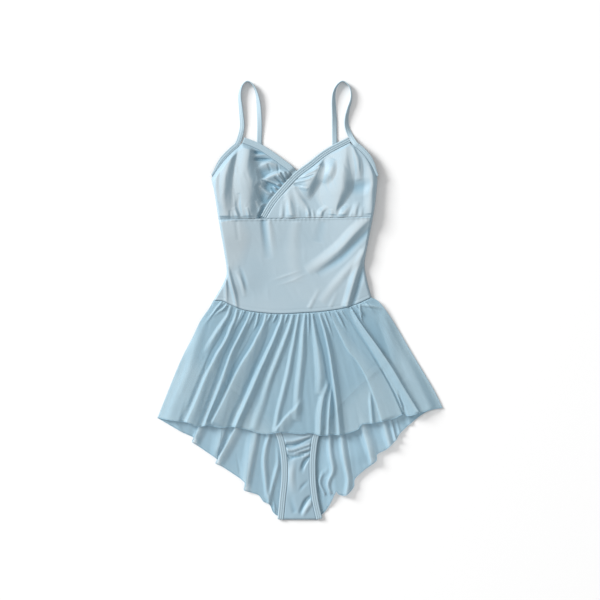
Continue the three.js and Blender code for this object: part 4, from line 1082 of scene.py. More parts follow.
# %% Large folds of the back skirt
BACK_SKIRT_FOLDS = {
    "back left 1": (1.4, [
        (228, 312, 3, 4, 1), (212, 380, 3, 7, 2), (200, 425, 3, 8, 4.2), (196, 434, 2.6, 8, 5),
        (193, 441, 2.4, 7, 5),
    ]),
    "back left 2": (0, [
        (234, 340, 4, 4, 1), (226, 410, 7, 5, 2.2), (222.5, 432, 10, 4, 3.4), (218.5, 446, 9, 3.4, 3.6),
        (216, 457, 8, 3, 3.2),
    ]),
    "back left 3": (2, [
        (250, 315, 2, 4, 1), (243, 380, 2.4, 6, 3), (236.5, 424, 2, 8, 5), (231, 436, 2, 8.4, 5.6),
        (225, 447, 2, 8.4, 5.6), (216.5, 462, 2, 8, 5.2),
    ]),
    "back left 4": (0.8, [
        (262, 316, 3, 4, 1), (259, 380, 6, 5, 2.6), (256.5, 428, 9, 4.6, 4.2), (253.5, 446, 10, 4.6, 4.8),
        (250, 463, 10, 5, 4.8), (245, 489, 7, 5, 4.2),
    ]),
    "back left 4 line": (0, [(236, 453, 1.6, 1.6, -0.3), (239.5, 471, 1.6, 1.6, -0.9)]),
    "back left 5": (0.5, [
        (274, 316, 2, 3, 1), (272, 400, 2.6, 3.4, 2.2), (268.5, 434, 3, 3.6, 3.6),
        (265.5, 446, 3.4, 4.2, 4.2), (264, 458, 3.4, 4.6, 4.2), (264.2, 468, 3.4, 4.6, 4.2),
        (267, 496, 3, 3, 3.2),
    ]),
    "back left 6": (0, [
        (277, 446, 2, 2, 0.5), (278, 462, 3, 2, 2.6), (276, 470, 3.6, 2.6, 3.2), (273.5, 479, 3.6, 3, 3.2),
        (270.5, 490, 3, 3, 3.2), (268, 502, 2.6, 2.4, 3.2),
    ]),
    "back left curl 1": (0, [(273, 501, 1.4, 1.4, 1), (274.6, 509, 1.4, 1.4, 2)]),
    "back left curl 2": (0, [(277, 503, 1.2, 1.2, -0.8), (277.6, 514, 1.2, 1.2, -1)]),
    "back right 1": (0.5, [
        (313, 316, 3, 3, 1), (322, 400, 3, 3.6, 2), (329, 432, 4, 3.6, 3.8), (329.3, 445, 4, 4.2, 4.2),
        (330.3, 456, 4, 4.6, 4.4), (332.4, 466, 4, 4.2, 4.4), (331.6, 472, 3.2, 3.6, 4.2),
        (328.4, 478, 2.2, 3.6, 4.2), (327.2, 484, 2, 3.4, 4), (329.5, 491, 2, 3, 3.4),
    ]),
    "back right curl": (0, [
        (327, 468, 2, 2, 0.8), (321.5, 473.6, 2, 2.4, 2.8), (318.8, 480, 1.6, 3, 3.4),
        (320.5, 486, 1.6, 3, 3.4), (324, 492, 1.6, 2, 3),
    ]),
    "back right 2": (0.5, [
        (322, 316, 3, 3, 1), (334, 400, 4, 4, 2), (340.5, 432, 4, 5, 4), (342, 444, 4, 5.4, 4.6),
        (343.5, 455, 4, 5.4, 4.8), (345.8, 466, 4, 5, 4.8), (348, 479, 4, 4.6, 4.2), (346, 493, 4, 4, 3.2),
    ]),
    "back right 3": (0.8, [
        (332, 314, 3, 4, 1), (352, 390, 3, 6, 2.4), (361.5, 424, 3, 9, 4.6), (364, 434, 3, 10, 5.4),
        (367.2, 444, 3, 10, 5.6), (371.5, 461, 3, 8, 5),
    ]),
    "back right 3 twin": (0, [
        (356.6, 424, 1.6, 1.6, 0.8), (361, 436, 1.6, 1.6, 1.4), (366.4, 452, 1.6, 1.6, 0.8),
    ]),
    "back right 4": (0.5, [
        (345, 312, 3, 4, 1), (372, 390, 4, 5, 2), (383, 420, 6, 5, 3.8), (386.5, 432, 6, 4.6, 4.4),
        (390.5, 447, 5, 4, 4.2),
    ]),
    "back right 5": (0, [
        (352, 310, 3, 4, 1), (384, 400, 3, 3, 1.6), (391.3, 423, 2.6, 2, 3.2), (395.5, 440, 2.2, 2, 3.4),
    ]),
    "back right 6": (0, [(396, 420, 1.6, 2, 1.4), (399, 432, 1.6, 2, 2)]),
    "back right 7": (0, [(404, 405, 4, 4, 0.8), (409, 422, 3.4, 4, 1.8)]),
    "back outer left": (0, [(172, 417, 3, 4, 0.8), (181, 432, 3, 4, 1.6)]),
}

# %% [markdown]
# Small gathers sit between the large folds at the waist. They head the way the net falls there, which the
# large folds have already told: the table `FALL` keeps how far the cloth runs sideways for each pixel down.

# %% Small gathers at the waist
FALL = through(
    [(215, -0.9), (231, -0.6), (250, -0.42), (268, -0.44), (284, -0.4), (293, -0.28), (304, -0.06)]
    + [(318, 0.2), (331, 0.48), (346, 0.6), (360, 0.75), (372, 0.8)]
)
GATHER_PLACES = (222, 227, 244.5, 254, 261.8, 270.4, 276.4, 287.4, 308, 327.5, 334.4, 349.4, 354.6, 364)
BACK_GATHER_COUNT = 24
GATHER_LONG = (9, 26)
GATHER_HIGH = (0.7, 1.2)


def gathers(places, rise, seed):
    """Short ridges from the waist seam, each of its own length, dying out as they go down."""
    draw = np.random.default_rng(seed)
    lengths = draw.uniform(*GATHER_LONG, len(places))
    highs = draw.uniform(*GATHER_HIGH, len(places))
    rows = {}
    for place, length, high in zip(places, lengths, highs, strict=True):
        foot = MIDDLE[1] - waist_seam((place - MIDDLE[0]) * PIXEL) / PIXEL
        side = float(FALL(place)) * length
        rows[f"gather at {place}"] = [
            (place, foot, 1.3, 1.4, rise * high),
            (place + side * 0.4, foot + length * 0.4, 1.6, 1.7, rise * high),
            (place + side, foot + length, 2.0, 2.2, 0.0),
        ]
    return rows


FRONT_GATHERS = gathers(GATHER_PLACES, rise=1.8, seed=31)
BACK_GATHERS = gathers(
    np.linspace(GATHER_PLACES[0], GATHER_PLACES[-1], BACK_GATHER_COUNT), rise=0.8, seed=33
)

# %% [markdown]
# Net is never quite smooth: between its folds it has faint ripples. A noise could draw them, but waves in
# the share across the panel fan out with the cloth, as real ones do.

# %% Soft unevenness that follows the fall of the net
RIPPLE_COUNTS = (19, 27, 34, 46)
RIPPLE_START = (0.0, 0.25)
PATCHES_ACROSS = (2, 5)
PATCHES_DOWN = (0.3, 1)
RIPPLE_BEND, BEND_TURNS = 2.2, 3.1
RIPPLE_SWAY, SWAY_TURNS = 1.1, 23


def ripples(u, v, seed, height):
    """A sum of four slow waves across the panel that bend on their way down and come and go in patches."""
    draw = np.random.default_rng(seed)
    total = np.zeros_like(u)
    for count in RIPPLE_COUNTS:
        phase, bend, swell = draw.uniform(0, 2 * np.pi, 3)
        patches = u * draw.uniform(*PATCHES_ACROSS) + v * draw.uniform(*PATCHES_DOWN)
        come_and_go = 0.5 + 0.5 * np.sin(2 * np.pi * patches + swell)
        bent = RIPPLE_BEND * np.sin(BEND_TURNS * v + bend) + RIPPLE_SWAY * np.sin(SWAY_TURNS * u + bend)
        total += np.sin(2 * np.pi * count * u + phase + bent) * come_and_go * RIPPLE_COUNTS[0] / count
    return height * total * smooth(*RIPPLE_START, v)


# %% [markdown]
# **How the panels lie.** The back panel is pressed under the front one and the brief, and stands off the
# table at its free hem. The front panel lies over the brief and drops to the back one beside it, and its
# crests lean over a little, as folds of light cloth do. Draping by simulation would settle both, but not in
# the photograph's folds. A pair of numbers below says, in millimetres, where an effect starts and where it
# is complete, for `smooth`.

# %% Heights of the two panels
PRESSED = 0.4
PRESSED_END = (-6, 8)
BACK_FLAT_WITHIN = (30, 7)
GUSSET_START = (-180, -235)
BACK_EDGE = (0, 12)
BACK_LOWEST = 0.6
BACK_RIPPLE = 0.2
LIFTED = {"left": 1.0, "right": 5.0}
LIFT_DOWN = (5, 45)
LIFT_OUT = (4, 34)
LIFT_ACROSS = (-60, 60)
FRONT_EDGE = (-2, 10)
FRONT_RIPPLE = 0.14
DROP_OUT = (4, 24)
DEEPEST_OUT = (2, 14)
HEM_RISE = 2.2
HEM_RISE_DOWN = (-40, -190)
LEAN_START = (0, 12)
# Outside the brief the front skirt keeps a quarter of its painted shade.
OUTSIDE_SHADE = 0.25
OUTSIDE_SHADE_OUT = (-12, 24)
past_left_side = right_of(skirt_left)
inside_right_side = right_of(skirt_right)
below_front_hem = right_of(front_hem)
past_left_brief = right_of(beside(hip_then_leg(WAIST["left"], left_leg), TAPE_WIDE))
inside_right_brief = right_of(beside(hip_then_leg(WAIST["right"], right_leg), -TAPE_WIDE))


def outside_brief(x, y):
    """How far a point lies outside the brief with its tapes."""
    return np.maximum(past_left_brief(x, y), -inside_right_brief(x, y))


def in_from_side(x, y):
    """How far a point lies inside the skirt's side edges."""
    return np.maximum(0, np.minimum(-past_left_side(x, y), inside_right_side(x, y)))


DIP_ASIDE = 1.6
DIP_LEFT = 4.4
DIP_RIGHT = 1.4
FULL_DIP_RISE = 4


def dip_before(fold, depth):
    """The cloth dips before it climbs a steep edge: a trough along the foot of the fold's left side."""
    _, marks = fold
    return 0, [
        (px - left - DIP_ASIDE, py, DIP_LEFT, left + DIP_RIGHT, -depth * min(1, rise / FULL_DIP_RISE))
        for px, py, left, _, rise in marks
    ]


def with_dips(folds, dips):
    """The folds, and a dip of the named depth in millimetres before each fold that dips names."""
    return folds | {f"dip before {name}": dip_before(folds[name], depth) for name, depth in dips.items()}


FRONT_WITH_DIPS = with_dips(
    FRONT_SKIRT_FOLDS,
    {"fold 1": 2.2, "fold 2": 2.4, "fold 3": 2.6, "fold 4": 1.6, "fold 8": 2.4, "narrow light": 0.8},
)
BACK_WITH_DIPS = with_dips(BACK_SKIRT_FOLDS, {"back left 1": 0.8, "back left 3": 1.2, "back right 3": 1.0})


def leaning_relief(folds, x, y):
    """The folds' heights, and how far points are carried to the left where crests lean: lean * share^1.5."""
    rise, move = np.zeros_like(x), np.zeros((*x.shape, 2))
    for lean, marks in folds.values():
        fold = crease(marks)
        height = fold(x, y)
        rise += height
        if lean:
            share = height / max(abs(mark[4]) for mark in marks)
            move += lean * (share**1.5)[..., None] * fold.left
    return rise, move


def skirt_back_place(x, y, u, v):
    """Folds low under the front skirt, flat under the brief, and standing off the table at the right hem."""
    below_hem, outside = below_front_hem(x, y), outside_brief(x, y)
    free = lerp(PRESSED, 1, smooth(*PRESSED_END, below_hem))
    flat = smooth(0, lerp(*BACK_FLAT_WITHIN, smooth(*GUSSET_START, y)), outside)
    rise, move = leaning_relief(BACK_WITH_DIPS, x, y)
    held = free * flat * smooth(*BACK_EDGE, in_from_side(x, y))
    folds = rise + relief(BACK_GATHERS, x, y) + ripples(u, v, seed=21, height=BACK_RIPPLE)
    low = smooth(*LIFT_DOWN, below_hem) * smooth(*LIFT_OUT, outside)
    lift = low * lerp(*LIFTED.values(), smooth(*LIFT_ACROSS, x))
    z = np.maximum(BACK_LOWEST, SKIRT_BACK_TOP + folds * held + lift)
    # The last value given back is the painted shade between the folds.
    return x + move[..., 0] * held, y + move[..., 1] * held, z, shade_between_folds(rise, "back skirt")


def skirt_front_place(x, y, u, v):
    """Folds over the brief, dropping to the back skirt at the sides and lifting towards the hem."""
    side, outside = in_from_side(x, y), outside_brief(x, y)
    edge = lerp(SKIRT_FRONT_TOP, SKIRT_EDGE_TOP, smooth(*DROP_OUT, outside))
    inner = SKIRT_FRONT_TOP + HEM_RISE * smooth(*HEM_RISE_DOWN, y)
    level = lerp(edge, inner, smooth(0, SKIRT_SLOPE, side))
    rise, move = leaning_relief(FRONT_WITH_DIPS, x, y)
    held = smooth(*FRONT_EDGE, side)
    below_waist = waist_seam(np.clip(x, WAIST["left"], WAIST["right"])) - y
    folds = rise + relief(FRONT_GATHERS, x, y) + ripples(u, v, seed=11, height=FRONT_RIPPLE)
    least = lerp(LEG_TAPE_TOP + NET, SKIRT_EDGE_TOP, smooth(*DEEPEST_OUT, outside))
    z = np.maximum(level + folds * held - seam_pinch(below_waist, "top of the skirt"), least)
    grown = held * smooth(*LEAN_START, below_waist)
    # Painted shade between the folds, a quarter as strong outside the brief.
    between = shade_between_folds(rise, "front skirt") * lerp(1, OUTSIDE_SHADE, smooth(*OUTSIDE_SHADE_OUT, outside))
    return x + move[..., 0] * grown, y + move[..., 1] * grown, z, between


# %% Make the two panels
NET_THICK = 0.35
SKIRT_LENGTH = 220


def skirt_panel(name, hem, columns, rows, closer, place):
    """A panel from the waist seam to its hem. Its UV runs in metres, across the hem and down the length."""
    u, v = grid(columns, rows, closer)
    x, y = spread(seam_line(waist_seam, WAIST["left"], WAIST["right"]), hem, skirt_left, skirt_right, u, v)
    uv = np.stack([u * hem.length, v * SKIRT_LENGTH], -1) * MM
    *surface, fold_shade = place(x, y, u, v)
    return cloth(name, *surface, NET_THICK, uv, fold_shade)


skirt_front = skirt_panel(
    "skirt_front_net", front_hem, columns=420, rows=105, closer=1.15, place=skirt_front_place
)
skirt_back = skirt_panel("skirt_back_net", back_hem, columns=360, rows=90, closer=1.0, place=skirt_back_place)
tell(skirt_front)
tell(skirt_back)

# %% [markdown]
# ## Tapes and straps
# Necklines, armholes and leg openings are bound with folded jersey tape, sewn down by two rows of stitches.
# A tape is one profile carried along the edge: flat below, softly rounded above, with a shallow groove for
# each row of stitches. The straps are the same kind of strip, turned on edge where they loop over.

# %% A profile carried along a path
TOP_POINTS, UNDER_POINTS = 25, 7
SIDE_SHARE = 0.25
GROOVE_WIDE = 0.7


def tape_profile(wide, thick, grooves, round_power, groove_depth):
    """Points (across, up): a flat underside, and a rounded top less a groove at each place in grooves.

    The top at a across is thick * (s + (1 - s) * (1 - |2a / wide|^power)^(1/2)), where s is SIDE_SHARE.
    """
    a = np.sin(np.linspace(-np.pi / 2, np.pi / 2, TOP_POINTS)) * wide / 2
    crown = np.sqrt(np.maximum(0, 1 - np.abs(2 * a / wide) ** round_power))
    top = thick * lerp(SIDE_SHARE, 1, crown)
    for groove in grooves:
        top = top - groove_depth * np.exp(-(((a - groove) / GROOVE_WIDE) ** 2))
    under = np.linspace(wide / 2, -wide / 2, UNDER_POINTS)
    return np.concatenate([np.stack([a, top], -1), np.stack([under, 0 * under], -1)])


def swept(name, centre, across, up, profile, slid=0.0):
    """centre + profile's first number * across + its second * up + slid, closed round and at both ends."""
    aside, above = profile[None, :, :1], profile[None, :, 1:]
    ring = centre[:, None] + aside * across[:, None] + above * up[:, None] + slid
    steps, sides = ring.shape[:2]
    length = np.concatenate([[0], np.cumsum(np.linalg.norm(np.diff(centre, axis=0), axis=1))])
    uv = np.stack(np.broadcast_arrays(length[:, None], profile[None, :, 0]), -1) * MM
    middle = np.stack([ring[0].mean(0), ring[-1].mean(0)])
    side = np.arange(sides)
    ends = [
        np.stack([np.full(sides, steps * sides), side, np.roll(side, -1)], -1),
        np.stack([np.full(sides, steps * sides + 1), np.roll(side, -1), side], -1)
        + np.array([0, 1, 1]) * (steps - 1) * sides,
    ]
    points = np.concatenate([ring.reshape(-1, 3), middle])
    uvs = np.concatenate([uv.reshape(-1, 2), uv[[0, -1]].mean(1)])
    return put_mesh(name, points, [grid_quads(steps, sides, wrap=True), *ends], uvs)


def unit(vectors):
    """Each vector divided by its length."""
    return vectors / np.linalg.norm(vectors, axis=-1, keepdims=True)


# %% [markdown]
# **Stitches.** Each is a short piece of thread that dips into the cloth at both ends. A bump texture could
# draw them, but they are seen from low angles too, so each one is a small closed solid.

# %% Stitches
STITCH_LONG = 2.3
STITCH_PITCH = 3.0
STITCH_THICK = 0.42
STITCH_SUNK = 0.3
RING_PLACES = (-1, -0.6, 0.6, 1)
RING_GIRTHS = (0.35, 1, 1, 0.35)


def stitches(name, rows):
    """Short thread capsules along rows of (points, up). A stitch has 4 rings of 4 points."""
    t = np.array(RING_PLACES)
    girth = np.array(RING_GIRTHS)
    angle = np.linspace(0, 2 * np.pi, 5)[:4] + np.pi / 4
    solids = []
    for path, up in rows:
        step = np.concatenate([[0], np.cumsum(np.linalg.norm(np.diff(path, axis=0), axis=1))])
        at = np.arange(STITCH_PITCH, step[-1] - STITCH_PITCH / 2, STITCH_PITCH)
        centre = np.stack([np.interp(at, step, path[:, k]) for k in range(3)], -1)
        lift = unit(np.stack([np.interp(at, step, up[:, k]) for k in range(3)], -1))
        ahead = unit(np.stack([np.interp(at, step, np.gradient(path[:, k])) for k in range(3)], -1))
        wide = unit(np.cross(ahead, lift))
        ring = (
            centre[:, None, None]
            + (t * STITCH_LONG / 2)[None, :, None, None] * ahead[:, None, None]
            + (girth[:, None] * np.cos(angle) * STITCH_THICK / 2)[None, :, :, None] * wide[:, None, None]
            + (girth[:, None] * np.sin(angle) * STITCH_THICK / 2)[None, :, :, None] * lift[:, None, None]
        )
        solids.append(ring.reshape(-1, 16, 3))
    solids = np.concatenate(solids)
    one = np.concatenate([grid_quads(4, 4, wrap=True), [[3, 2, 1, 0], [12, 13, 14, 15]]])
    quads = (one[None] + 16 * np.arange(len(solids))[:, None, None]).reshape(-1, 4)
    points = solids.reshape(-1, 3)
    return put_mesh(name, points, [quads], points[:, :2] * MM)


# %% [markdown]
# Each tape lies beside its edge. Its two long edges are looked up on the same heights as the panels, so a
# tape tilts with the cloth that it binds.

# %% The tapes
TWIN_ROWS = (-TAPE_WIDE / 6, TAPE_WIDE / 6)
TAPE_STEPS = 150
TAPE_CLEAR = 0.05
TAPE_POWER = 7
TAPE_GROOVE = 0.55
FINE_GROOVE = 0.22
REACH_FADE = 8
WHOLE = (0, 1)
UP_TO_WRAP = (0, 0.93)
PAST_TIP = 2.0
DIPS_UNDER_WRAP = (-9, -2)
TAPE_SUNK = 1.0
BUNCH_AT = (-12, 190)
BUNCH_WIDE = (26, 30)
BUNCH_HIGH = 1.2


def tape(name, edge, side, share, height, wide=TAPE_WIDE, thick=TAPE_THICK, groove=TAPE_GROOVE, reach=0.0):
    """A tape beside an edge, from share to share of it, and reach further at its start.

    height(x, y) is its underside. Gives the piece and its rows of stitches.
    """
    t = np.linspace(*share, TAPE_STEPS)
    inner, outer = beside(edge, side * TAPE_CLEAR)(t), beside(edge, side * wide)(t)
    near = np.concatenate([inner, height(*inner.T)[:, None]], 1)
    far = np.concatenate([outer, height(*outer.T)[:, None]], 1)
    centre, across = (near + far) / 2, unit(far - near)
    ahead = np.gradient(centre, axis=0)
    up = unit(np.cross(across, ahead))
    up *= np.sign(up[:, 2:])
    from_start = np.linalg.norm(centre - centre[0], axis=1)
    slid = -(reach * (1 - smooth(0, REACH_FADE, from_start)))[:, None] * unit(ahead)
    profile = tape_profile(wide, thick, TWIN_ROWS, TAPE_POWER, groove)
    piece = swept(name, centre, across, up, profile, slid[:, None])
    tell(piece)
    return piece, [(centre + row * across + (thick - STITCH_SUNK) * up, up) for row in TWIN_ROWS]


def level_at(z):
    """An underside that is level at z."""
    return lambda x, y: z + 0 * x


def left_neck_under(x, y):
    """The left neckline's tape follows the front's level and dips under the wrap."""
    under_wrap = smooth(*DIPS_UNDER_WRAP, under_right_cup(x, y))
    return lerp(front_level(x, y) - TAPE_SUNK, UNDERWRAP_TOP - TAPE_THICK, under_wrap)


def right_neck_under(x, y):
    """The right neckline's tape lies on the wrap, and higher where the gathers bunch up under it."""
    aside, along = (x - BUNCH_AT[0]) / BUNCH_WIDE[0], (y - BUNCH_AT[1]) / BUNCH_WIDE[1]
    return UNDERWRAP_TOP + GAP + BUNCH_HIGH * np.exp(-(aside**2) - along**2)


neck_left, neck_left_rows = tape(
    "neck_tape_left_cloth", left_neck, -1, UP_TO_WRAP, left_neck_under, groove=FINE_GROOVE
)
neck_right, neck_right_rows = tape(
    "neck_tape_right_cloth", right_neck, 1, WHOLE, right_neck_under, reach=PAST_TIP
)
back_tape, back_rows = tape(
    "back_tape_cloth", back_neck, -1, WHOLE, level_at(0), wide=STRAP_WIDE, thick=STRAP_THICK
)
leg_tapes, leg_rows = {}, []
for side, leg, turn in (("left", left_leg, 1), ("right", right_leg, -1)):
    over, under = level_at(BRIEF_BACK_TOP + GAP), level_at(SKIRT_BACK_TOP + GAP)
    front, rows = tape(f"leg_tape_{side}_front_cloth", leg, turn, WHOLE, over)
    back, _ = tape(f"leg_tape_{side}_back_cloth", leg, turn, WHOLE, under, thick=JERSEY)
    leg_tapes[f"leg_tape_{side}_front"], leg_tapes[f"leg_tape_{side}_back"] = front, back
    leg_rows += rows

# %% [markdown]
# Each strap is one strip that first binds the armhole, then leaves the cup's tip, turns up on its edge,
# loops over and comes down behind the front to the back's top edge. The table gives its middle line in
# plan, how far it is turned about that line, and how high its lowest edge lies. The left strap leans
# towards the light and the right one away from it, as in the photograph.

# %% The straps
STRAP_COLUMNS = "x y turned lift"
LEFT_STRAP_LOOP = table(
    STRAP_COLUMNS,
    [
        (-98, 272, 6, 1.5),
        (-95.5, 288, 20, 0),
        (-97.5, 312, 38, 0),
        (-99.5, 338, 60, 0),
        (-95.5, 354, 78, 0),
        (-87, 360.5, 90, 0),
        (-78, 355, 98, 0),
        (-71.5, 342, 112, 0),
        (-68, 322, 140, 0),
        (-66.5, 290, 168, 0),
        (-67, 262, 180, 0),
        (-67, 225, 180, 0),
        (-67, 182.6, 180, 0),
    ],
)
RIGHT_STRAP_LOOP = table(
    STRAP_COLUMNS,
    [
        (82.5, 272, -6, 1.5),
        (77.5, 286, -25, 0),
        (77, 300, -45, 0),
        (80, 315, -62, 0),
        (84.5, 331, -76, 0),
        (84, 345, -86, 0),
        (79, 355, -90, 0),
        (70, 360.5, -92, 0),
        (60.5, 353, -104, 0),
        (55.5, 337, -128, 0),
        (56.5, 300, -160, 0),
        (57, 262, -180, 0),
        (57, 225, -180, 0),
        (57, 182.6, -180, 0),
    ],
)
ARMHOLE_POINTS = 9
STRIP_START = 0.93
STRAP_ROWS = (-2.2, 2.2)
STRAP_STEPS = 320
STRAP_POWER = 6
STRAP_GROOVE = 0.4
STRAP_CLEAR = 0.1
LOOKED_UP = -2.0
END_SLANT = {1: 0.68, -1: 0.56}
END_SHARE = 0.45
NARROW_WITHIN = 34
SLANT_WITHIN = 9


def strap(name, armhole, side, loop):
    """A strip through the armhole's points and the loop's.

    Place, turn and lift are curves of the length so far. The end at the side seam is narrowed and cut aslant.
    """
    share = STRIP_START * (1 - np.arange(ARMHOLE_POINTS) / ARMHOLE_POINTS)
    sewn = beside(armhole, side * (STRAP_WIDE / 2 + STRAP_CLEAR))(share)
    x, y = beside(armhole, side * LOOKED_UP)(share).T
    lifts = side_turn(x, y, front_level(x, y)) - JERSEY
    marks = np.concatenate([sewn, [(row["x"], row["y"]) for row in loop]])
    turned = np.concatenate([np.zeros(ARMHOLE_POINTS), [row["turned"] for row in loop]])
    lift = np.concatenate([lifts, [row["lift"] for row in loop]])
    far = np.concatenate([[0], np.cumsum(np.hypot(*np.diff(marks, axis=0).T))])
    at = np.linspace(0, far[-1], STRAP_STEPS)
    px, py, angle, low = (
        through(list(zip(far, column, strict=True)))(at) for column in (*marks.T, turned, lift)
    )
    angle = np.radians(angle)[:, None]
    ahead = unit(np.stack([np.gradient(px), np.gradient(py), 0 * px], -1))
    flat = np.stack([ahead[:, 1], -ahead[:, 0], 0 * px], -1)
    upright = np.array([0, 0, 1.0]) + 0 * flat
    across = np.cos(angle) * flat + np.sin(angle) * upright
    face = np.cos(angle) * upright - np.sin(angle) * flat
    half = (STRAP_WIDE * np.abs(np.sin(angle)) + STRAP_THICK * np.abs(np.cos(angle))) / 2
    centre = np.stack([px, py, np.maximum(0, low) + half[:, 0]], -1)
    profile = tape_profile(STRAP_WIDE, STRAP_THICK, STRAP_ROWS, STRAP_POWER, STRAP_GROOVE)
    profile -= np.array([0, STRAP_THICK / 2])
    narrow = ((1 - END_SHARE) * (1 - smooth(0, NARROW_WITHIN, at)))[:, None, None]
    inward = (side * STRAP_WIDE / 2 - profile[:, 0])[None, :, None] * narrow * across[:, None]
    cut = END_SLANT[side] * (STRAP_WIDE / 2 + side * profile[:, 0]) * END_SHARE
    slid = inward - cut[None, :, None] * (1 - smooth(0, SLANT_WITHIN, at))[:, None, None] * ahead[:, None]
    piece = swept(name, centre, across, face, profile, slid)
    tell(piece)
    up = STRAP_THICK / 2 - STITCH_SUNK
    return piece, [(centre + row * across + up * face, face) for row in STRAP_ROWS]


strap_left, strap_left_rows = strap("strap_left_strip", left_armhole, 1, LEFT_STRAP_LOOP)
strap_right, strap_right_rows = strap("strap_right_strip", right_armhole, -1, RIGHT_STRAP_LOOP)

# %% [markdown]
# ## Hems
# The net's edge is overlocked so tightly that it curls: a cord of thread about a millimetre thick runs
# along each hem. It is a round profile carried along the panel's own last row of points, so it can't leave
# the cloth.

# %% Rolled hems
HEM_RADIUS = 0.5
HEM_STEPS = 900
HEM_SIDES = 10
HEM_SUNK = 0.2
CURL_HIGH = 0.2
CURL_COUNT = 61
CURL_DRIFT, DRIFT_TURNS = 1.5, 17


def rolled_hem(name, panel_place, hem):
    """A tube along the hem, its middle on the edge of the panel, that curls up and down in uneven waves."""
    u = np.linspace(0, 1, HEM_STEPS)
    x, y, z, _ = panel_place(*hem(u).T, u, np.ones_like(u))
    curl = CURL_HIGH * np.sin(2 * np.pi * u * CURL_COUNT + CURL_DRIFT * np.sin(DRIFT_TURNS * u))
    centre = np.stack([x, y, np.maximum(z - HEM_SUNK + curl, HEM_RADIUS)], -1)
    ahead = unit(np.gradient(centre, axis=0))
    across = unit(np.cross(ahead, np.array([0, 0, 1.0])))
    angle = np.linspace(0, 2 * np.pi, HEM_SIDES + 1)[:HEM_SIDES]
    profile = HEM_RADIUS * np.stack([np.cos(angle), np.sin(angle)], -1)
    piece = swept(name, centre, across, np.cross(across, ahead), profile)
    tell(piece)
    return piece


hem_front = rolled_hem("hem_front_thread", skirt_front_place, front_hem)
hem_back = rolled_hem("hem_back_thread", skirt_back_place, back_hem)

# %% The rows of stitches
SEAM_STEPS = 300
FROM_SIDE = 4
THREAD_UP = 0.05
seam_x = np.linspace(WAIST["left"] + FROM_SIDE, WAIST["right"] - FROM_SIDE, SEAM_STEPS)
above = waist_seam(seam_x) + TOPSTITCH_UP
waist_row = np.stack([seam_x, above, midriff_top(seam_x, above) + THREAD_UP], -1)
upwards = np.tile([0, 0, 1.0], (SEAM_STEPS, 1))
thread_bodice = stitches(
    "thread_bodice", neck_left_rows + neck_right_rows + back_rows + leg_rows + [(waist_row, upwards)]
)
thread_straps = stitches("thread_straps", strap_left_rows + strap_right_rows)
tell(thread_bodice)
tell(thread_straps)

# %% [markdown]
# ## Shader groups
# Three effects are used by more than one material, so each is a node group: knitted loops, an even net, and
# slow uneven tone with painted shade. A group gives colours, masks and heights only, and each material keeps
# its own Principled shader.

# %% Helpers for node groups


def group(name, inputs, outputs):
    """An empty shader group with named sockets: inputs is {name: (type, value)}, outputs is {name: type}."""
    tree = bpy.data.node_groups.new(name, "ShaderNodeTree")
    for socket, (kind, value) in inputs.items():
        made = tree.interface.new_socket(socket, in_out="INPUT", socket_type=f"NodeSocket{kind}")
        if value is not None:
            made.default_value = value
    for socket, kind in outputs.items():
        tree.interface.new_socket(socket, in_out="OUTPUT", socket_type=f"NodeSocket{kind}")
    return tree, tree.nodes.new("NodeGroupInput"), tree.nodes.new("NodeGroupOutput")


def math(tree, operation, a, b=0.0, c=0.0):
    """A math node on three values or sockets. Gives its result."""
    node = tree.nodes.new("ShaderNodeMath")
    node.operation = operation
    for slot, value in zip(node.inputs, (a, b, c), strict=True):
        if isinstance(value, bpy.types.NodeSocket):
            tree.links.new(value, slot)
        else:
            slot.default_value = value
    return node.outputs[0]


# %% [markdown]
# **Knitted loops.** Jersey shows columns of small V-shaped loops. Across, a column is a rounded bar. Along,
# the loops repeat, and each one is shifted by how far it lies from the column's middle, which draws the V.

# %% The loops of jersey
LOOP_TALL = 0.8
BAR_POWER = 3.0
LOOP_LOW, LOOP_SWING = 0.4, 0.6
knit, knit_in, knit_out = group(
    "Knitted loops", {"Place": ("Vector", None), "Pitch": ("Float", 0.0011)}, {"Height": "Float"}
)
split = knit.nodes.new("ShaderNodeSeparateXYZ")
knit.links.new(knit_in.outputs["Place"], split.inputs[0])
across_loops = math(knit, "DIVIDE", split.outputs[0], knit_in.outputs["Pitch"])
from_middle = math(knit, "ABSOLUTE", math(knit, "SUBTRACT", math(knit, "FRACT", across_loops), 0.5))
loop_pitch = math(knit, "MULTIPLY", knit_in.outputs["Pitch"], LOOP_TALL)
along_loops = math(knit, "DIVIDE", split.outputs[1], loop_pitch)
shifted = math(knit, "FRACT", math(knit, "ADD", along_loops, from_middle))
bar = math(knit, "SUBTRACT", 1.0, math(knit, "POWER", math(knit, "MULTIPLY", from_middle, 2.0), BAR_POWER))
loop = math(knit, "SINE", math(knit, "MULTIPLY", shifted, np.pi))
looped = math(knit, "MULTIPLY_ADD", loop, LOOP_SWING, LOOP_LOW)
knit.links.new(math(knit, "MULTIPLY", bar, looped), knit_out.inputs["Height"])

# %% [markdown]
# **The net.** Two families of fine threads cross at a slant and leave diamond holes. A thread is where a
# wave of the slanted coordinate is near its middle. The mask is 1 on a thread and 0 in a hole.

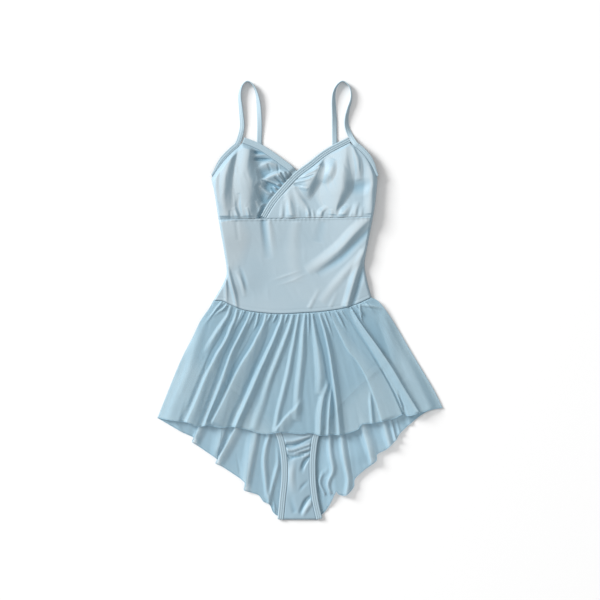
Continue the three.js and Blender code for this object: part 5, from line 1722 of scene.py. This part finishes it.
# %% The threads of the net
NET_SLANT = 0.7
net, net_in, net_out = group(
    "Fine net",
    {"Place": ("Vector", None), "Pitch": ("Float", 0.0012), "Thread": ("Float", 0.5)},
    {"Mask": "Float"},
)
split = net.nodes.new("ShaderNodeSeparateXYZ")
net.links.new(net_in.outputs["Place"], split.inputs[0])
threads = []
for operation in ("ADD", "SUBTRACT"):
    slanted = math(net, operation, split.outputs[0], math(net, "MULTIPLY", split.outputs[1], NET_SLANT))
    turns = math(net, "DIVIDE", math(net, "MULTIPLY", slanted, np.pi), net_in.outputs["Pitch"])
    wave = math(net, "ABSOLUTE", math(net, "SINE", turns))
    near = net.nodes.new("ShaderNodeMapRange")
    near.interpolation_type = "SMOOTHSTEP"
    net.links.new(wave, near.inputs["Value"])
    net.links.new(net_in.outputs["Thread"], near.inputs["From Min"])
    near.inputs["From Max"].default_value = 0.0
    threads.append(near.outputs["Result"])
net.links.new(math(net, "MAXIMUM", *threads), net_out.inputs["Mask"])

# %% [markdown]
# ** Slow tone and painted shade.** No dyed cloth is one flat colour. A soft noise moves the colour a few
# percent between two tones. The painted shade that the mesh carries moves it further towards the darker
# tone.

# %% Uneven tone and painted shade
NOISE_DETAIL = 3.0
TONE_SWING, TONE_START = 0.3, -0.1
PAINTED_SHADE_SHARE = 0.85
tone, tone_in, tone_out = group(
    "Slow tone and painted shade",
    {
        "Place": ("Vector", None),
        "Scale": ("Float", 14.0),
        "Deepness": ("Float", 0.0),
        "Light": ("Color", (1, 1, 1, 1)),
        "Deep": ("Color", (0, 0, 0, 1)),
    },
    {"Color": "Color", "Share": "Float"},
)
noise = tone.nodes.new("ShaderNodeTexNoise")
noise.inputs["Detail"].default_value = NOISE_DETAIL
tone.links.new(tone_in.outputs["Place"], noise.inputs["Vector"])
tone.links.new(tone_in.outputs["Scale"], noise.inputs["Scale"])
uneven = math(tone, "MULTIPLY_ADD", noise.outputs["Fac"], TONE_SWING, TONE_START)
# The share of the darker tone: the noise, plus the painted shade.
share = math(tone, "ADD", uneven, math(tone, "MULTIPLY", tone_in.outputs["Deepness"], PAINTED_SHADE_SHARE))
mix = tone.nodes.new("ShaderNodeMix")
mix.data_type = "RGBA"
tone.links.new(share, mix.inputs["Factor"])
tone.links.new(tone_in.outputs["Light"], mix.inputs["A"])
tone.links.new(tone_in.outputs["Deep"], mix.inputs["B"])
tone.links.new(mix.outputs["Result"], tone_out.inputs["Color"])
tone.links.new(share, tone_out.inputs["Share"])

# %% [markdown]
# ## Materials
# Five finishes: smooth jersey, folded tape, net, and thread for seams and hems. All are a pale blue, and
# differ in how they take the light. Each has two colours: a light one, and a darker, bluer one that a soft
# noise mixes in a little as uneven tone and that is painted shade between the folds and on their steep sides,
# where the painted shade attribute of the mesh is near 1. Jersey has a soft sheen. The net is a layer that
# hides about half of what lies under it on its threads and a quarter in its holes, and more where the painted
# shade is, which darkens it there, so that the brief and the back skirt show faintly.

# %% Material helpers


def srgb(red, green, blue):
    """A colour given as 0 to 255 on a screen, in linear light."""
    c = np.array([red, green, blue]) / 255
    linear = np.where(c <= 0.04045, c / 12.92, ((c + 0.055) / 1.055) ** 2.4)
    return (*linear, 1.0)


def add_group(tree, which, **values):
    """A group placed in a material, with its inputs set or linked by name."""
    node = tree.nodes.new("ShaderNodeGroup")
    node.node_tree = which
    for name, value in values.items():
        if isinstance(value, bpy.types.NodeSocket):
            tree.links.new(value, node.inputs[name])
        else:
            node.inputs[name].default_value = value
    return node


SHEEN_ROUGHNESS = 0.45
SPECULAR = 0.35
TONE_SCALE = 14.0
BUMP_STRENGTH = 0.5


def fabric(name, light, deep, roughness, sheen, pitch, bump):
    """A knitted cloth: slow tone and painted shade for colour, loops for bump. pitch and bump are in metres.
    """
    material = bpy.data.materials.new(name)
    material.use_nodes = True
    tree = material.node_tree
    shader = tree.nodes["Principled BSDF"]
    shader.inputs["Roughness"].default_value = roughness
    shader.inputs["Sheen Weight"].default_value = sheen
    shader.inputs["Sheen Roughness"].default_value = SHEEN_ROUGHNESS
    shader.inputs["Specular IOR Level"].default_value = SPECULAR
    place = tree.nodes.new("ShaderNodeUVMap")
    place.uv_map = "cloth"
    # The mesh's painted shade attribute.
    between = tree.nodes.new("ShaderNodeAttribute")
    between.attribute_name = "deep"
    toned = add_group(
        tree,
        tone,
        Place=place.outputs["UV"],
        Scale=TONE_SCALE,
        Deepness=between.outputs["Fac"],
        Light=srgb(*light),
        Deep=srgb(*deep),
    )
    tree.links.new(toned.outputs["Color"], shader.inputs["Base Color"])
    loops = add_group(tree, knit, Place=place.outputs["UV"], Pitch=pitch)
    raised = tree.nodes.new("ShaderNodeBump")
    raised.inputs["Distance"].default_value = bump
    raised.inputs["Strength"].default_value = BUMP_STRENGTH
    tree.links.new(loops.outputs["Height"], raised.inputs["Height"])
    tree.links.new(raised.outputs["Normal"], shader.inputs["Normal"])
    return material


# %% The five cloths
# Each cloth's second colour is painted shade where the mesh carries it, and a little uneven tone everywhere.
FABRICS = table(
    "name light deep roughness sheen pitch bump",
    [
        ("pale_blue_jersey", (177, 191, 198), (114, 155, 176), 0.45, 0.15, 0.0011, 0.00012),
        ("folded_tape", (160, 182, 193), (142, 168, 183), 0.55, 0.15, 0.0009, 0.0001),
        ("sewing_thread", (166, 187, 197), (158, 181, 193), 0.5, 0.15, 0.0004, 0.00005),
        # The hem's thread is darker than the net: an opaque cord of thread, and in part painted shade along
        # the hem.
        ("hem_thread", (138, 172, 189), (120, 158, 177), 0.6, 0.15, 0.0004, 0.00005),
        ("pale_blue_net", (197, 221, 231), (146, 184, 203), 0.55, 0.2, 0.0011, 0.00008),
    ],
)
jersey, binding, thread, hem_thread, net_cloth = (fabric(**row) for row in FABRICS)

# %% The net's holes
NET_SOLID = 0.52
NET_HOLE = 0.28
NET_SHADE_OPACITY = 0.14
NET_PITCH = 0.0013
NET_THREAD = 0.55
tree = net_cloth.node_tree
place, between = (next(node for node in tree.nodes if node.type == kind) for kind in ("UVMAP", "ATTRIBUTE"))
mask = add_group(tree, net, Place=place.outputs["UV"], Pitch=NET_PITCH, Thread=NET_THREAD)
opacity = math(tree, "MULTIPLY_ADD", mask.outputs["Mask"], NET_SOLID - NET_HOLE, NET_HOLE)
# The net is made more opaque where the painted shade is, which darkens it there.
opacity = math(tree, "MULTIPLY_ADD", between.outputs["Fac"], NET_SHADE_OPACITY, opacity)
tree.links.new(opacity, tree.nodes["Principled BSDF"].inputs["Alpha"])

# %% [markdown]
# ## Joining the frame
# Each cloth piece stands for its own CAD solid and rides on the one body that this dress has.

# %% Dress the nodes


def ride(piece, material):
    """Gives a piece its material and the body that it rides on."""
    piece.data.materials.append(material)
    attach(piece, "root")


JERSEY_PIECES = {
    "cup_left": cup_left,
    "cup_right": cup_right,
    "midriff_front": midriff,
    "back_bodice": back_bodice,
    "brief_front": brief_front,
    "brief_back": brief_back,
}
NET_PIECES = {"skirt_front": skirt_front, "skirt_back": skirt_back}
TAPE_PIECES = {
    "neck_tape_left": neck_left,
    "neck_tape_right": neck_right,
    "back_tape": back_tape,
    "strap_left": strap_left,
    "strap_right": strap_right,
    **leg_tapes,
}
for pieces, material, slot in (
    (JERSEY_PIECES, jersey, "jersey"),
    (NET_PIECES, net_cloth, "net"),
    (TAPE_PIECES, binding, "binding"),
):
    for node, piece in pieces.items():
        ride(piece, material)
        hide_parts(node)
    print(len(pieces), "nodes dressed in", material.name)
ride(thread_bodice, thread)
ride(thread_straps, thread)
ride(hem_front, hem_thread)
ride(hem_back, hem_thread)

# %% [markdown]
# Eight sheets are cut for this dress. The net panels are cut wider at the waist than they lie there, because
# they are drawn up on a gathering thread.

# %% [markdown]
# ## The studio
# The dress lies on a white table. One large soft lamp stands low at the upper left, a white sky fills the
# shadows, and the camera looks straight down from three metres through a long lens, so nothing is
# foreshortened.

# %% Table, light and camera
CAMERA_HEIGHT = 3.0
CAMERA_FAR = 20
PICTURE_PIXELS = 600
SENSOR = 0.036
TABLE_SIZE = 6
TABLE_DOWN = 0.0002
TABLE_WHITE = 0.846
TABLE_ROUGHNESS = 0.9
KEY_PLACE = (-13.6, 7.6, 7.6)
KEY_SIZE = 6.4
KEY_POWER = 4360
SKY_STRENGTH = 0.6

bpy.ops.mesh.primitive_plane_add(size=TABLE_SIZE, location=(0, 0, -TABLE_DOWN))
table_top = bpy.context.object
table_top.name = "white_table"
white = bpy.data.materials.new("white_table")
white.use_nodes = True
white_shader = white.node_tree.nodes["Principled BSDF"]
white_shader.inputs["Base Color"].default_value = (TABLE_WHITE, TABLE_WHITE, TABLE_WHITE, 1)
white_shader.inputs["Roughness"].default_value = TABLE_ROUGHNESS
table_top.data.materials.append(white)

lamp = bpy.data.objects.new("key", bpy.data.lights.new("key", "AREA"))
lamp.data.size = KEY_SIZE
lamp.data.energy = KEY_POWER
lamp.location = KEY_PLACE
lamp.rotation_euler = (-Vector(KEY_PLACE)).to_track_quat("-Z", "Y").to_euler()
bpy.context.scene.collection.objects.link(lamp)

world = bpy.data.worlds.new("sky")
bpy.context.scene.world = world
world.use_nodes = True
world.node_tree.nodes["Background"].inputs["Color"].default_value = (1, 1, 1, 1)
world.node_tree.nodes["Background"].inputs["Strength"].default_value = SKY_STRENGTH

camera = bpy.data.objects.new("camera", bpy.data.cameras.new("camera"))
bpy.context.scene.collection.objects.link(camera)
camera.location = (0, 0, CAMERA_HEIGHT)
camera.data.sensor_width = 1000 * SENSOR
camera.data.lens = 1000 * SENSOR * CAMERA_HEIGHT / (PICTURE_PIXELS * PIXEL * MM)
camera.data.clip_end = CAMERA_FAR
bpy.context.scene.camera = camera
bpy.context.scene.view_settings.view_transform = "Standard"
